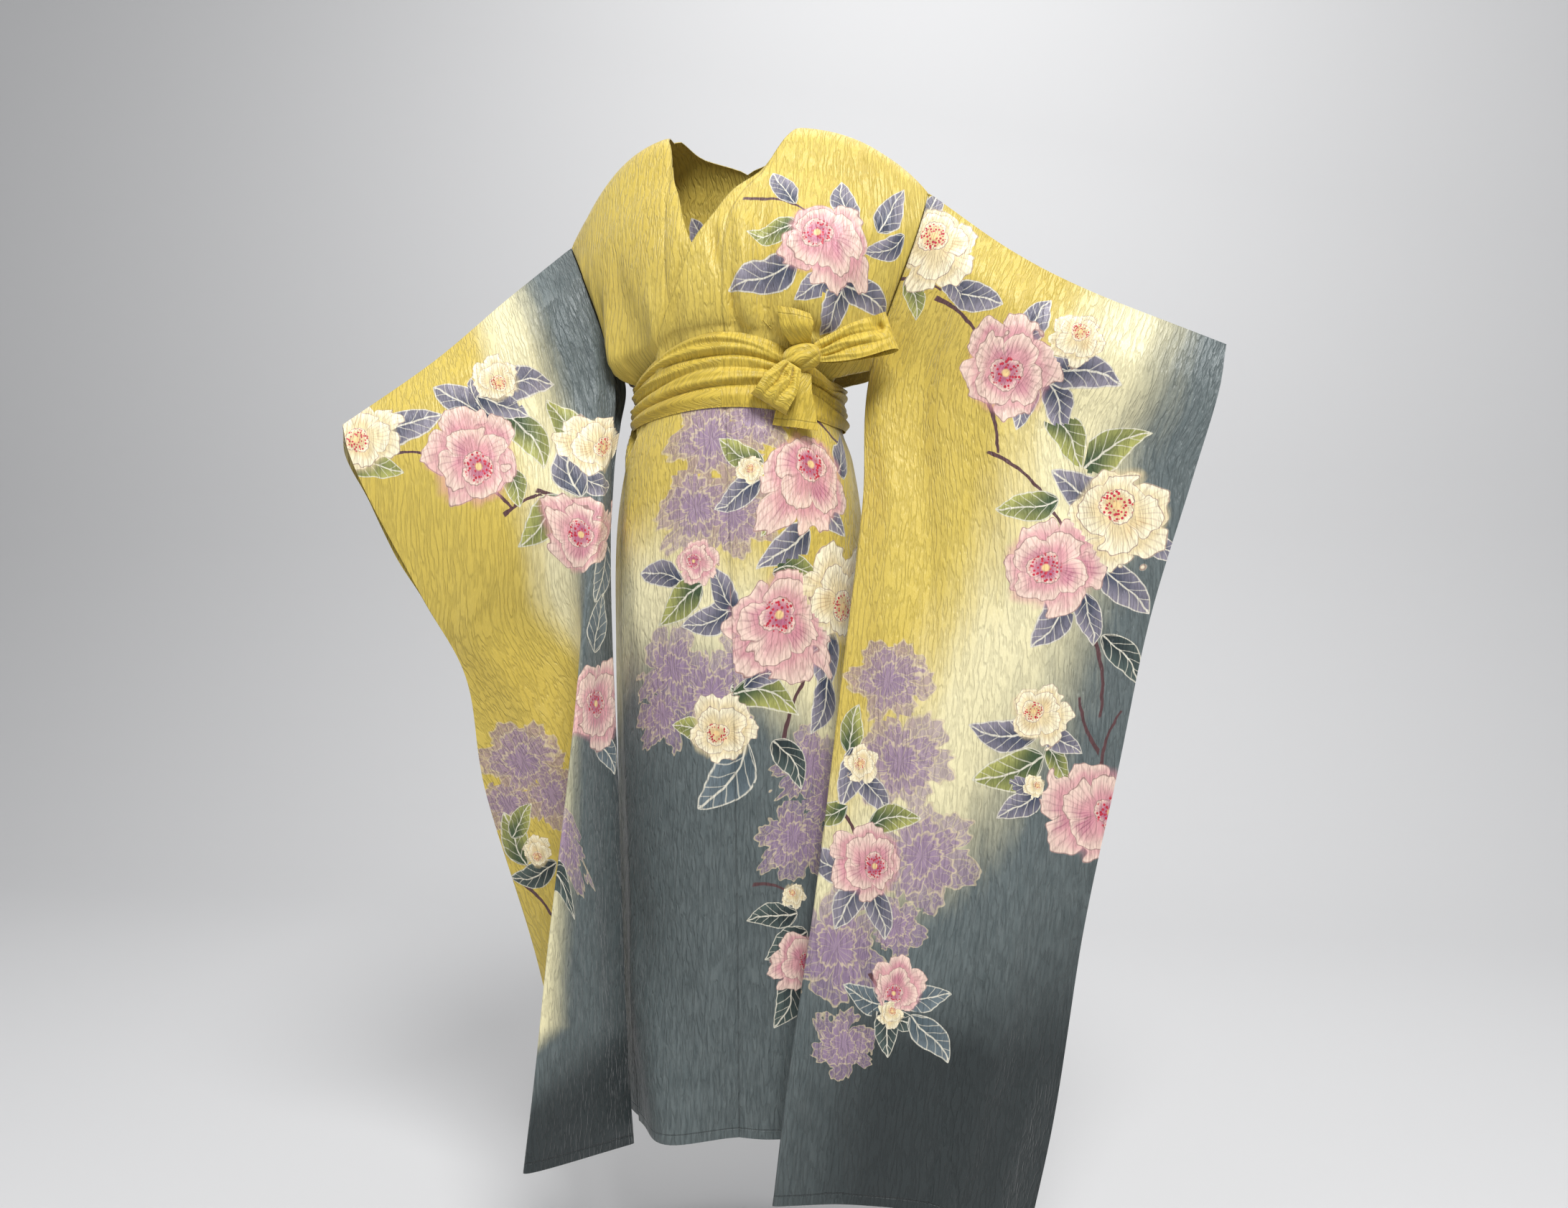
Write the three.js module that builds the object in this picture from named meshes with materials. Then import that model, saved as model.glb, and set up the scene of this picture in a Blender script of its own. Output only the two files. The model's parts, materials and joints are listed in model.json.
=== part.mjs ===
// A long-sleeved silk kimono, held as it is worn, with its own soft sash.
// Millimetres, +Z up. The front faces -Y and the wearer's left side is +X.
// The origin is the middle of the shoulder line, where the wearer's shoulders hold the garment up.
import * as THREE from 'three';

// Cloth
const WALL = 2;
const SEAM = 0.5;
const LAP = 3;

// Dyed silk, from the shoulders to the hem, and the sash
const YELLOW = 0xcdb446;
const CREAM = 0xd7d2a5;
const SLATE = 0x5f7073;
const SASH_YELLOW = 0xbfa640;

// Angle from the centre front to the armhole seam, and to the side seam below it
const ARMHOLE_ANGLE = 66;
const SIDE_ANGLE = 91;

// A short table with named columns, read smoothly between its rows by the first column
function table(names, rows) {
  const columns = { names, at: rows.map((row) => row[0]) };
  names.forEach((name, index) => {
    columns[name] = rows.map((row) => row[index]);
  });
  return columns;
}

function slope(at, values, index) {
  const last = at.length - 1;
  const before = Math.max(index - 1, 0);
  const after = Math.min(index + 1, last);
  return (values[after] - values[before]) / (at[after] - at[before]);
}

function read(columns, name, where) {
  const { at } = columns;
  const values = columns[name];
  const last = at.length - 1;
  if (where <= at[0]) return values[0];
  if (where >= at[last]) return values[last];
  const index = at.findIndex((edge) => edge > where) - 1;
  const span = at[index + 1] - at[index];
  const t = (where - at[index]) / span;
  const rise = t * t * (3 - 2 * t);
  const leave = slope(at, values, index) * span * t * (1 - t) * (1 - t);
  const arrive = slope(at, values, index + 1) * span * t * t * (1 - t);
  return values[index] + (values[index + 1] - values[index]) * rise + leave - arrive;
}

const fade = (from, to, value) => THREE.MathUtils.smoothstep(value, from, to);
const mix = THREE.MathUtils.lerp;

// The body's sections: 0 is the shoulder line, 1 the underarm, 2 the hem.
// Height is at the centre, half the half width, front and back the depths, dip how far the sides hang.
const BODY = table(['station', 'height', 'half', 'front', 'back', 'dip', 'power'], [
  [0.00, 0, 262, 0, 0, 0, 4.5],
  [0.05, -5, 256, 32, 34, 0, 4.4],
  [0.12, -20, 250, 52, 56, 0, 4.2],
  [0.20, -42, 244, 64, 72, 0, 4.0],
  [0.30, -74, 236, 77, 84, 0, 3.6],
  [0.40, -108, 228, 100, 92, 0, 3.2],
  [0.50, -143, 218, 117, 96, 0, 2.8],
  [0.60, -178, 208, 129, 97, 0, 2.5],
  [0.75, -223, 196, 133, 95, 0, 2.2],
  [0.90, -258, 186, 131, 92, 0, 2.0],
  [1.00, -277, 181, 126, 90, 46, 2.0],
  [1.05, -286, 136, 121, 88, 48, 2.0],
  [1.12, -326, 132, 117, 88, 30, 2.0],
  [1.20, -382, 136, 121, 95, 12, 2.0],
  [1.28, -432, 150, 129, 106, 4, 2.0],
  [1.40, -530, 163, 136, 115, 0, 2.0],
  [1.55, -680, 164, 139, 118, 0, 2.0],
  [1.75, -920, 160, 139, 119, 0, 2.0],
  [1.90, -1120, 156, 138, 120, 0, 2.0],
  [2.00, -1264, 153, 138, 121, 0, 2.0],
]);

// Where the body's edges and seams run, as the distance from the centre at each station
const EDGES = table(['station', 'leftNeck', 'leftSeam', 'rightNeck', 'rightSeam', 'backNeck'], [
  [0.00, 83, 83, -88, -88, 86],
  [0.08, 78, 78, -86, -86, 62],
  [0.15, 68, 68, -80, -80, 0],
  [0.23, 56, 56, -76, -76, 0],
  [0.32, 38, 42, -70, -76, 0],
  [0.40, 10, 24, -60, -76, 0],
  [0.50, -11, 9, -51, -75, 0],
  [0.60, -34, 4, -37, -73, 0],
  [0.75, -52, 3, -4, -70, 0],
  [0.90, -70, 3, 35, -64, 0],
  [1.00, -80, 3, 58, -60, 0],
  [1.20, -112, 5, 96, -48, 0],
  [1.28, -128, 8, 104, -42, 0],
  [1.40, -134, 12, 108, -36, 0],
  [1.55, -134, 17, 108, -32, 0],
  [1.75, -124, 21, 104, -30, 0],
  [1.90, -114, 23, 100, -30, 0],
  [2.00, -106, 24, 96, -30, 0],
]);

// The body's largest folds: angle from the centre front, breadth, depth outwards, and the stations
// between which the fold swells. Lean is how far it turns round the body over its length.
const BODY_FOLDS = [
  { angle: -20, breadth: 13, depth: 30, from: 1.8, to: 2.02, lean: -26 },
  { angle: 8, breadth: 10, depth: -9, from: 1.5, to: 2, lean: 12 },
  { angle: 42, breadth: 14, depth: 10, from: 1.35, to: 2, lean: 8 },
  { angle: 74, breadth: 12, depth: -10, from: 1.4, to: 2, lean: -6 },
  { angle: 104, breadth: 13, depth: 13, from: 1.35, to: 1.95, lean: 5 },
  { angle: 136, breadth: 12, depth: -11, from: 1.45, to: 2, lean: -8 },
  { angle: 166, breadth: 15, depth: 12, from: 1.3, to: 1.9, lean: 6 },
  { angle: -162, breadth: 11, depth: -9, from: 1.5, to: 2, lean: -4 },
  { angle: -138, breadth: 14, depth: 14, from: 1.4, to: 2, lean: 7 },
  { angle: -108, breadth: 12, depth: -8, from: 1.5, to: 2, lean: 5 },
  { angle: -57, breadth: 10, depth: 9, from: 0.55, to: 0.95, lean: 0 },
  { angle: 56, breadth: 10, depth: 8, from: 0.55, to: 0.95, lean: 0 },
  { angle: 150, breadth: 16, depth: 8, from: 0.5, to: 0.9, lean: 0 },
  { angle: -148, breadth: 14, depth: 8, from: 0.5, to: 0.9, lean: 0 },
];

// Each sleeve's sections: 0 is the fold along the arm and 1 the bottom. Four points cross the
// sleeve, from the body's side to the cuff's side. The back wall keeps the front wall's heights.
const SLEEVE_COLUMNS = ['station', 'innerX', 'innerY', 'innerZ', 'foldX', 'foldY', 'foldZ',
  'hollowX', 'hollowY', 'hollowZ', 'outerX', 'outerY', 'outerZ'];
const BACK_COLUMNS = ['station', 'innerX', 'innerY', 'foldX', 'foldY',
  'hollowX', 'hollowY', 'outerX', 'outerY'];

const LEFT_FRONT = table(SLEEVE_COLUMNS, [
  [0.00, 249, -61, -111, 347, -88, -194, 425, -112, -247, 589, -119, -322],
  [0.06, 233, -73, -168, 339, -116, -262, 428, -134, -321, 578, -132, -377],
  [0.18, 174, -38, -325, 311, -108, -369, 421, -124, -415, 548, -139, -476],
  [0.35, 167, -77, -495, 289, -118, -538, 387, -139, -565, 500, -145, -636],
  [0.55, 144, -116, -714, 256, -147, -740, 353, -158, -758, 463, -152, -811],
  [0.75, 116, -150, -966, 215, -172, -974, 312, -180, -983, 424, -158, -994],
  [0.90, 87, -172, -1171, 188, -191, -1165, 280, -195, -1177, 391, -162, -1206],
  [1.00, 71, -187, -1314, 168, -202, -1297, 256, -201, -1303, 357, -167, -1361],
]);
const LEFT_BACK = table(BACK_COLUMNS, [
  [0.00, 249, -61, 347, -88, 425, -112, 589, -119],
  [0.06, 236, -8, 345, -50, 430, -72, 581, -88],
  [0.18, 178, 22, 312, -58, 421, -84, 550, -113],
  [0.26, 174, -6, 302, -68, 404, -96, 524, -137],
  [0.35, 172, -32, 292, -80, 389, -109, 500, -142],
  [0.55, 148, -82, 259, -117, 355, -133, 463, -149],
  [0.75, 118, -122, 217, -146, 313, -157, 424, -155],
  [0.90, 88, -154, 189, -174, 281, -180, 391, -159],
  [1.00, 71, -184, 168, -199, 256, -198, 357, -164],
]);

const RIGHT_FRONT = table(SLEEVE_COLUMNS, [
  [0.00, -228, -8, -142, -293, -74, -227, -362, -130, -313, -447, -204, -405],
  [0.06, -201, -45, -191, -279, -112, -293, -353, -168, -373, -436, -210, -439],
  [0.18, -157, -46, -321, -236, -108, -400, -318, -168, -465, -411, -199, -503],
  [0.30, -152, -72, -444, -166, -110, -488, -240, -134, -548, -362, -167, -615],
  [0.45, -146, -91, -619, -164, -145, -628, -197, -98, -655, -327, -122, -714],
  [0.62, -134, -105, -816, -170, -182, -807, -176, -95, -819, -315, -90, -860],
  [0.80, -122, -118, -1054, -185, -218, -1026, -174, -95, -1063, -262, -50, -1082],
  [0.92, -114, -122, -1203, -194, -234, -1161, -174, -95, -1212, -238, -28, -1235],
  [1.00, -107, -126, -1282, -203, -246, -1266, -177, -96, -1290, -234, -18, -1325],
]);
const RIGHT_BACK = table(BACK_COLUMNS, [
  [0.00, -228, -8, -293, -74, -362, -130, -447, -204],
  [0.06, -203, 22, -311, -62, -385, -122, -458, -178],
  [0.18, -160, 18, -258, -60, -338, -128, -420, -184],
  [0.24, -159, -8, -224, -70, -300, -122, -394, -180],
  [0.30, -159, -38, -190, -80, -254, -112, -364, -164],
  [0.45, -158, -70, -172, -115, -188, -76, -328, -119],
  [0.62, -146, -90, -164, -146, -162, -76, -315, -87],
  [0.80, -134, -103, -171, -174, -158, -78, -261, -47],
  [0.92, -126, -108, -177, -190, -159, -80, -237, -25],
  [1.00, -110, -122, -198, -235, -172, -91, -232, -15],
]);

// The arm's part of each sleeve is sewn to the body from station 0 to this one
const ARMHOLE_END = 0.18;
const SLEEVES = {
  left: { front: LEFT_FRONT, back: LEFT_BACK },
  right: { front: RIGHT_FRONT, back: RIGHT_BACK },
};

function sleevePoint(side, layer, across, station) {
  const points = SLEEVES[side][layer];
  const heights = SLEEVES[side].front;
  const stops = ['inner', 'fold', 'hollow', 'outer'].map((name) => new THREE.Vector3(
    read(points, `${name}X`, station),
    read(points, `${name}Y`, station),
    read(heights, `${name}Z`, station),
  ));
  return new THREE.CatmullRomCurve3(stops, false, 'centripetal').getPoint(across);
}

// The armhole seam, from the shoulder (0) to the underarm (1)
const armholePoint = (side, layer, station) => sleevePoint(side, layer, 0, station * ARMHOLE_END);

const sine = (degrees) => Math.sin(THREE.MathUtils.degToRad(degrees));
const cosine = (degrees) => Math.cos(THREE.MathUtils.degToRad(degrees));

function halfWidth(side, station) {
  const upper = Math.abs(armholePoint(side, 'front', Math.min(station, 1)).x) / sine(ARMHOLE_ANGLE);
  return mix(upper, read(BODY, 'half', station), fade(1, 1.05, station));
}

const sideOf = (angle) => (sine(angle) >= 0 ? 'left' : 'right');
const angleOf = (distance, station) => {
  const ratio = distance / halfWidth(distance >= 0 ? 'left' : 'right', station);
  return THREE.MathUtils.radToDeg(Math.asin(THREE.MathUtils.clamp(ratio, -1, 1)));
};

function turnedApart(angle, other) {
  const turn = Math.abs(angle - other) % 360;
  return Math.min(turn, 360 - turn);
}

function foldDepth(angle, station) {
  return BODY_FOLDS.reduce((sum, fold) => {
    const centre = fold.angle + fold.lean * (1 - fade(fold.from, fold.to, station));
    const distance = turnedApart(angle, centre) / fold.breadth;
    const swell = fold.to > 1 ? fade(fold.from, fold.to, station)
      : fade(fold.from, fold.to, station) * (1 - fade(0.97, 1.04, station));
    return sum + fold.depth * swell * Math.exp(-distance * distance);
  }, 0);
}

// A point of the body's cloth. Layer is 1 on the fronts that lap over, -1 on those beneath.
function bodyPoint(angle, station, layer) {
  const side = sideOf(angle);
  const facing = cosine(angle) >= 0 ? 'front' : 'back';
  const depth = read(BODY, facing, station);
  const spread = Math.abs(sine(angle)) / sine(ARMHOLE_ANGLE);
  const armhole = armholePoint(side, facing, Math.min(station, 1));
  const half = halfWidth(side, station);
  const upper = 1 - fade(1, 1.05, station);
  const sewnDepth = armhole.y + depth * (facing === 'front' ? 1 : -1) * cosine(ARMHOLE_ANGLE);
  const sideHeight = mix(read(BODY, 'height', station) - read(BODY, 'dip', station),
    armhole.z, upper);
  const x = half * sine(angle);
  const y = -depth * cosine(angle) + sewnDepth * upper * Math.min(spread, 1) ** 4;
  const z = mix(read(BODY, 'height', station), sideHeight,
    Math.min(spread, 1) ** read(BODY, 'power', station));
  const open = fade(1, 1.15, station);
  const away = turnedApart(angle, 0);
  const lapped = LAP * fade(0.35, 0.55, station) * (1 - fade(35 + 25 * open, 60 + 25 * open, away));
  const out = layer * lapped + foldDepth(angle, station) * fade(0.2, 0.5, station);
  const outward = new THREE.Vector3(sine(angle) * Math.max(depth, 40), -cosine(angle) * half, 0);
  return new THREE.Vector3(x, y, z).addScaledVector(outward.normalize(), out);
}

// Walls of cloth
// A grid of points becomes one closed wall. Closed means that its columns run round a loop.
// Crest says that the first row lies along a fold that another wall continues, facing up or down,
// and continued that the surface runs on past both sides, into the pieces sewn there.
function wall(name, colour, rows, columns, point, options = {}) {
  const { closed = false, crest = 0, continued = false } = options;
  const across = closed ? columns : columns + 1;
  const middle = Array.from({ length: rows + 1 }, (_, row) => Array.from({ length: across },
    (__, column) => point(row / rows, column / columns, row, column)));
  const at = (row, column) => middle[row][closed ? (column + across) % across : column];
  const positions = [];
  const indices = [];
  const index = (face, row, column) => (face * (rows + 1) + row) * across
    + (closed ? (column + across) % across : column);

  const beside = (row, column) => {
    const inside = closed || (column >= 0 && column < across);
    if (inside) return at(row, column);
    const kept = THREE.MathUtils.clamp(column, 0, across - 1);
    return continued ? point(row / rows, column / columns, row, column) : at(row, kept);
  };

  function normal(row, column) {
    const along = beside(row, column + 1).clone().sub(beside(row, column - 1)).normalize();
    if (crest && row === 0) {
      const up = new THREE.Vector3(0, 0, 1);
      return up.addScaledVector(along, -up.dot(along)).normalize().multiplyScalar(crest);
    }
    const down = at(Math.min(row + 1, rows), column).clone().sub(at(Math.max(row - 1, 0), column));
    return down.cross(along).normalize();
  }

  for (const face of [1, -1]) {
    for (let row = 0; row <= rows; row += 1) {
      for (let column = 0; column < across; column += 1) {
        const offset = normal(row, column).multiplyScalar((face * WALL) / 2);
        positions.push(...at(row, column).clone().add(offset).toArray());
      }
    }
  }
  const quad = (a, b, c, d) => indices.push(a, b, c, a, c, d);
  for (let row = 0; row < rows; row += 1) {
    for (let column = 0; column < columns; column += 1) {
      quad(index(0, row, column), index(0, row + 1, column),
        index(0, row + 1, column + 1), index(0, row, column + 1));
      quad(index(1, row, column), index(1, row, column + 1),
        index(1, row + 1, column + 1), index(1, row + 1, column));
    }
    if (!closed) {
      quad(index(0, row, 0), index(1, row, 0), index(1, row + 1, 0), index(0, row + 1, 0));
      quad(index(0, row, columns), index(0, row + 1, columns),
        index(1, row + 1, columns), index(1, row, columns));
    }
  }
  for (let column = 0; column < columns; column += 1) {
    quad(index(0, 0, column), index(0, 0, column + 1),
      index(1, 0, column + 1), index(1, 0, column));
    quad(index(0, rows, column), index(1, rows, column),
      index(1, rows, column + 1), index(0, rows, column + 1));
  }
  return cloth(name, colour, positions, indices);
}

function enclosed(positions, indices) {
  const corner = (i) => new THREE.Vector3().fromArray(positions, indices[i] * 3);
  let volume = 0;
  for (let i = 0; i < indices.length; i += 3) {
    volume += corner(i).dot(corner(i + 1).cross(corner(i + 2)));
  }
  return volume;
}

function cloth(name, colour, positions, indices) {
  const outward = enclosed(positions, indices) > 0;
  const order = outward ? indices : [...indices].reverse();
  const geometry = new THREE.BufferGeometry();
  geometry.setAttribute('position', new THREE.Float32BufferAttribute(positions, 3));
  geometry.setIndex(order);
  geometry.computeVertexNormals();
  const material = new THREE.MeshStandardMaterial({ color: colour, roughness: 0.55, metalness: 0 });
  const mesh = new THREE.Mesh(geometry, material);
  mesh.name = name;
  return mesh;
}

// Body panels
const STATIONS = [0, 0.03, 0.08, 0.15, 0.23, 0.32, 0.4, 0.5, 0.6, 0.7, 0.8, 0.9, 1, 1.03, 1.06,
  1.12, 1.2, 1.28, 1.36, 1.46, 1.56, 1.67, 1.78, 1.87, 1.94, 2];
const OVERLAP_START = STATIONS.indexOf(0.32);
const PANEL_COLUMNS = 7;
const OVERLAP_COLUMNS = 5;

const seamAngle = (station) => mix(ARMHOLE_ANGLE, SIDE_ANGLE, fade(1, 1.15, station));
const backSeamAngle = (station) => mix(180 - ARMHOLE_ANGLE, SIDE_ANGLE, fade(1, 1.15, station));
const degreesFor = (distance, station) => THREE.MathUtils.radToDeg(
  distance / Math.max(read(BODY, 'half', station), 100),
);

// A panel between two angles, which are functions of the station, kept half a seam from each
function panel(name, colour, first, columns, from, to, layer, crest) {
  const stations = STATIONS.slice(first);
  return wall(name, colour, stations.length - 1, columns, (_, across, row) => {
    const station = stations[row];
    const gap = degreesFor(SEAM / 2, station) * Math.sign(to(station) - from(station));
    const angle = mix(from(station) + gap, to(station) - gap, across);
    const point = bodyPoint(angle, station, layer);
    if (station === 0) point.y += (cosine(angle) > 0 ? -SEAM : SEAM) / 2;
    return point;
  }, { crest, continued: true });
}

const frontLeft = panel('front_left', YELLOW, 0, PANEL_COLUMNS,
  (station) => angleOf(read(EDGES, 'leftSeam', station), station), seamAngle, 1, -1);
const overlapLeft = panel('overlap_left', CREAM, OVERLAP_START, OVERLAP_COLUMNS,
  (station) => angleOf(read(EDGES, 'leftNeck', station), station),
  (station) => angleOf(read(EDGES, 'leftSeam', station), station), 1, 0);
const frontRight = panel('front_right', YELLOW, 0, PANEL_COLUMNS,
  (station) => -seamAngle(station),
  (station) => angleOf(read(EDGES, 'rightSeam', station), station), -1, -1);
const overlapRight = panel('overlap_right', CREAM, OVERLAP_START, OVERLAP_COLUMNS,
  (station) => angleOf(read(EDGES, 'rightSeam', station), station),
  (station) => angleOf(read(EDGES, 'rightNeck', station), station), -1, 0);
const backLeft = panel('back_left', YELLOW, 0, PANEL_COLUMNS, backSeamAngle,
  (station) => 180 - angleOf(read(EDGES, 'backNeck', station), station), 0, -1);
const backRight = panel('back_right', YELLOW, 0, PANEL_COLUMNS,
  (station) => 180 + angleOf(read(EDGES, 'backNeck', station), station),
  (station) => 360 - backSeamAngle(station), 0, -1);

// Sleeves, each a front and a back wall that meet along the arm, the cuff's seam and the bottom
const SLEEVE_ROWS = 18;
const SLEEVE_WALL_COLUMNS = 12;
const ARMHOLE_GAP = 3;
const BACK_ARMHOLE_GAP = 1.4;

function sleeve(side, layer, colour) {
  const outwards = side === 'left' ? 1 : -1;
  return wall(`sleeve_${side}_${layer}`, colour, SLEEVE_ROWS, SLEEVE_WALL_COLUMNS,
    (down, across) => {
      const point = sleevePoint(side, layer, across, down ** 1.25);
      const sewn = layer === 'back' ? fade(0, 0.06, down) * (1 - fade(0.2, 0.3, down)) : 0;
      point.x += outwards * mix(ARMHOLE_GAP, BACK_ARMHOLE_GAP, sewn) * (1 - across);
      if (down === 0) point.y += (layer === 'front' ? -SEAM : SEAM) / 2;
      return point;
    }, { crest: side === 'left' ? -1 : 1 });
}

// The sash: a band of soft pleats round the waist, and the bow that ties it at the front left
const SASH = { top: 1.06, bottom: 1.2, rows: 7, columns: 40, proud: 7 };
const SASH_PLEATS = [
  { across: 0.16, depth: 3.5, tilt: 0.05 },
  { across: 0.42, depth: 2.5, tilt: -0.06 },
  { across: 0.66, depth: 3.5, tilt: 0.04 },
  { across: 0.88, depth: 2.0, tilt: -0.03 },
];
const PLEAT_BREADTH = 0.1;

function sashPoint(down, round) {
  const angle = round * 360;
  const station = mix(SASH.top, SASH.bottom, down);
  const point = bodyPoint(angle, station, 0);
  const pleats = SASH_PLEATS.reduce((sum, pleat) => {
    const centre = pleat.across + pleat.tilt * sine(2 * angle + 40);
    return sum + pleat.depth * Math.exp(-(((down - centre) / PLEAT_BREADTH) ** 2));
  }, 0);
  const outward = new THREE.Vector3(point.x, point.y * 1.2, 0).normalize();
  return point.addScaledVector(outward, SASH.proud + pleats);
}

const sashWrap = () => wall('sash_wrap', SASH_YELLOW, SASH.rows, SASH.columns, sashPoint,
  { closed: true });

// The knot is bunched cloth, so its hidden layers share one rounded solid
const KNOT = { centre: [98, -111.6, -322], radii: [17, 13, 17], ridges: 5, ridgeDepth: 0.1 };

function sashKnot() {
  const geometry = new THREE.SphereGeometry(1, 16, 10);
  const points = geometry.getAttribute('position');
  const spot = new THREE.Vector3();
  for (let i = 0; i < points.count; i += 1) {
    spot.fromBufferAttribute(points, i);
    const round = Math.atan2(spot.z, spot.x);
    const level = Math.sqrt(Math.max(0, 1 - spot.y * spot.y));
    const swell = 1 + KNOT.ridgeDepth * level * Math.cos(KNOT.ridges * round);
    spot.multiplyScalar(swell).multiply(new THREE.Vector3(...KNOT.radii));
    spot.add(new THREE.Vector3(...KNOT.centre));
    points.setXYZ(i, spot.x, spot.y, spot.z);
  }
  geometry.computeVertexNormals();
  const material = new THREE.MeshStandardMaterial({ color: SASH_YELLOW, roughness: 0.6, metalness: 0 });
  const mesh = new THREE.Mesh(geometry, material);
  mesh.name = 'sash_knot';
  return mesh;
}

// A loop of the bow: cloth that leaves the knot and comes back to it. Reach runs from the knot to
// the loop's end, breadth is the band's width there, and gape the distance between its two runs.
function loop(name, root, end, sizes) {
  const from = new THREE.Vector3(...root);
  const to = new THREE.Vector3(...end);
  const reach = to.clone().sub(from);
  const away = new THREE.Vector3(...sizes.away).normalize();
  const breadthways = reach.clone().cross(away).normalize();
  const rows = 4;
  const columns = 20;
  return wall(name, SASH_YELLOW, rows, columns, (down, round) => {
    const turn = round * 2 * Math.PI;
    const out = (1 - Math.cos(turn)) / 2;
    const gape = mix(sizes.gapeRoot, sizes.gapeEnd, out) * Math.sin(turn);
    const breadth = mix(sizes.breadthRoot, sizes.breadthEnd, Math.sqrt(out));
    return from.clone().addScaledVector(reach, out)
      .addScaledVector(away, gape)
      .addScaledVector(breadthways, (down - 0.5) * breadth);
  }, { closed: true });
}

// A tail of the sash: a strip through rows of centre, half width across it, and cup of its middle
function tail(name, rows) {
  const columns = 5;
  const steps = 8;
  return wall(name, SASH_YELLOW, steps, columns, (along, across) => {
    const side = 2 * across - 1;
    const centre = new THREE.Vector3(read(rows, 'x', along), read(rows, 'y', along),
      read(rows, 'z', along));
    const half = new THREE.Vector3(read(rows, 'halfX', along), read(rows, 'halfY', along),
      read(rows, 'halfZ', along));
    const cup = read(rows, 'cup', along) * (1 - side * side);
    return centre.addScaledVector(half, side).add(new THREE.Vector3(0, -cup, 0));
  });
}

const TAIL_COLUMNS = ['along', 'x', 'y', 'z', 'halfX', 'halfY', 'halfZ', 'cup'];
const TAIL_UP = table(TAIL_COLUMNS, [
  [0.0, 96, -112.5, -304.6, 11, 3, 1, 3],
  [0.4, 91, -125, -290, 16, 4, 3, 6],
  [0.7, 89, -127, -278, 18, 5, 3, 6],
  [1.0, 88, -127, -265, 19, 6, 4, 5],
]);
const TAIL_DOWN = table(TAIL_COLUMNS, [
  [0.0, 95, -110, -339.2, 13, 3, -1, 4],
  [0.35, 91, -112.5, -360, 18, 4, -2, 4],
  [0.7, 90, -112, -383, 23, 6, -2, 3],
  [1.0, 89, -112, -406, 27, 7, -3, 3],
]);

const BOW = { away: [-0.25, -1, 0], gapeRoot: 3, gapeEnd: 11, breadthRoot: 22, breadthEnd: 42 };
const PUFF = { away: [0.3, -1, 0.1], gapeRoot: 3, gapeEnd: 12, breadthRoot: 18, breadthEnd: 44 };

const kimono = new THREE.Group();
kimono.add(
  frontLeft, overlapLeft, frontRight, overlapRight, backLeft, backRight,
  sleeve('left', 'front', YELLOW),
  sleeve('left', 'back', SLATE),
  sleeve('right', 'front', CREAM),
  sleeve('right', 'back', SLATE),
  sashWrap(),
  sashKnot(),
  loop('sash_bow', [115.6, -113.5, -317], [203, -93, -283], BOW),
  loop('sash_puff', [87, -127, -334], [58, -134, -374], PUFF),
  tail('sash_tail_up', TAIL_UP),
  tail('sash_tail_down', TAIL_DOWN),
);

export default kimono;
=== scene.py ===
# %% [markdown]
# # A long-sleeved silk kimono
# The garment hangs in the air, as open and full as when it is worn: panels of crepe silk from the
# shoulders to the hem, two very long sleeves, and a soft sash tied in a bow at the front left. The
# CAD frame already has each cut piece as a thick plain wall. Here each wall is replaced by a thin
# shell of cloth on the same form, on a much finer grid, so that folds, seams and a printed silk
# can be added. The frame comes first.

# %% Load the frame
import json
import math

import bpy
import numpy as np
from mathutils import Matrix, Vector

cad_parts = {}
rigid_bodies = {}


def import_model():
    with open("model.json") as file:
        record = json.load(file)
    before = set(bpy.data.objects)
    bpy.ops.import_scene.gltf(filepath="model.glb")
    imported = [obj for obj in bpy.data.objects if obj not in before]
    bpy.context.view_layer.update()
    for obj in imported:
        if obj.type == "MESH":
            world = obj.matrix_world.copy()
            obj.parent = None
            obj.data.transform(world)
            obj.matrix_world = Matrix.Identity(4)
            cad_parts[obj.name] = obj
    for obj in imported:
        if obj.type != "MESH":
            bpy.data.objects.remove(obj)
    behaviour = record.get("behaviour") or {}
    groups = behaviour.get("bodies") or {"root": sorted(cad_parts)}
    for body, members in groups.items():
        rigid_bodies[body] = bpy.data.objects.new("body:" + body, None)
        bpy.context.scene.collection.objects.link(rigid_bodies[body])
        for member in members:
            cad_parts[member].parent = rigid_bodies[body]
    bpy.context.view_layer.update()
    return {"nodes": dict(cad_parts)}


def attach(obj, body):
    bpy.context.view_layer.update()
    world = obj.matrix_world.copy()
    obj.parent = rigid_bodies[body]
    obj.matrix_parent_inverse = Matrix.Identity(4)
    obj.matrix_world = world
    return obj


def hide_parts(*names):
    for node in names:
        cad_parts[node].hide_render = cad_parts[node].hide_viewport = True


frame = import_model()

print("CAD pieces:", len(frame["nodes"]))

# %% [markdown]
# ## Camera, light and floor
# A phone's wide lens stands a metre and a half in front of the garment, level with its middle and
# eight degrees to one side. The same lens on the same spot gives the same perspective: the nearer
# sleeve looks larger. The light is a big soft window high on the right and a weaker one to the
# left, so that folds and crepe show without hard shadows. The floor curves up into a plain pale
# wall, which has a lamp of its own.

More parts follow.
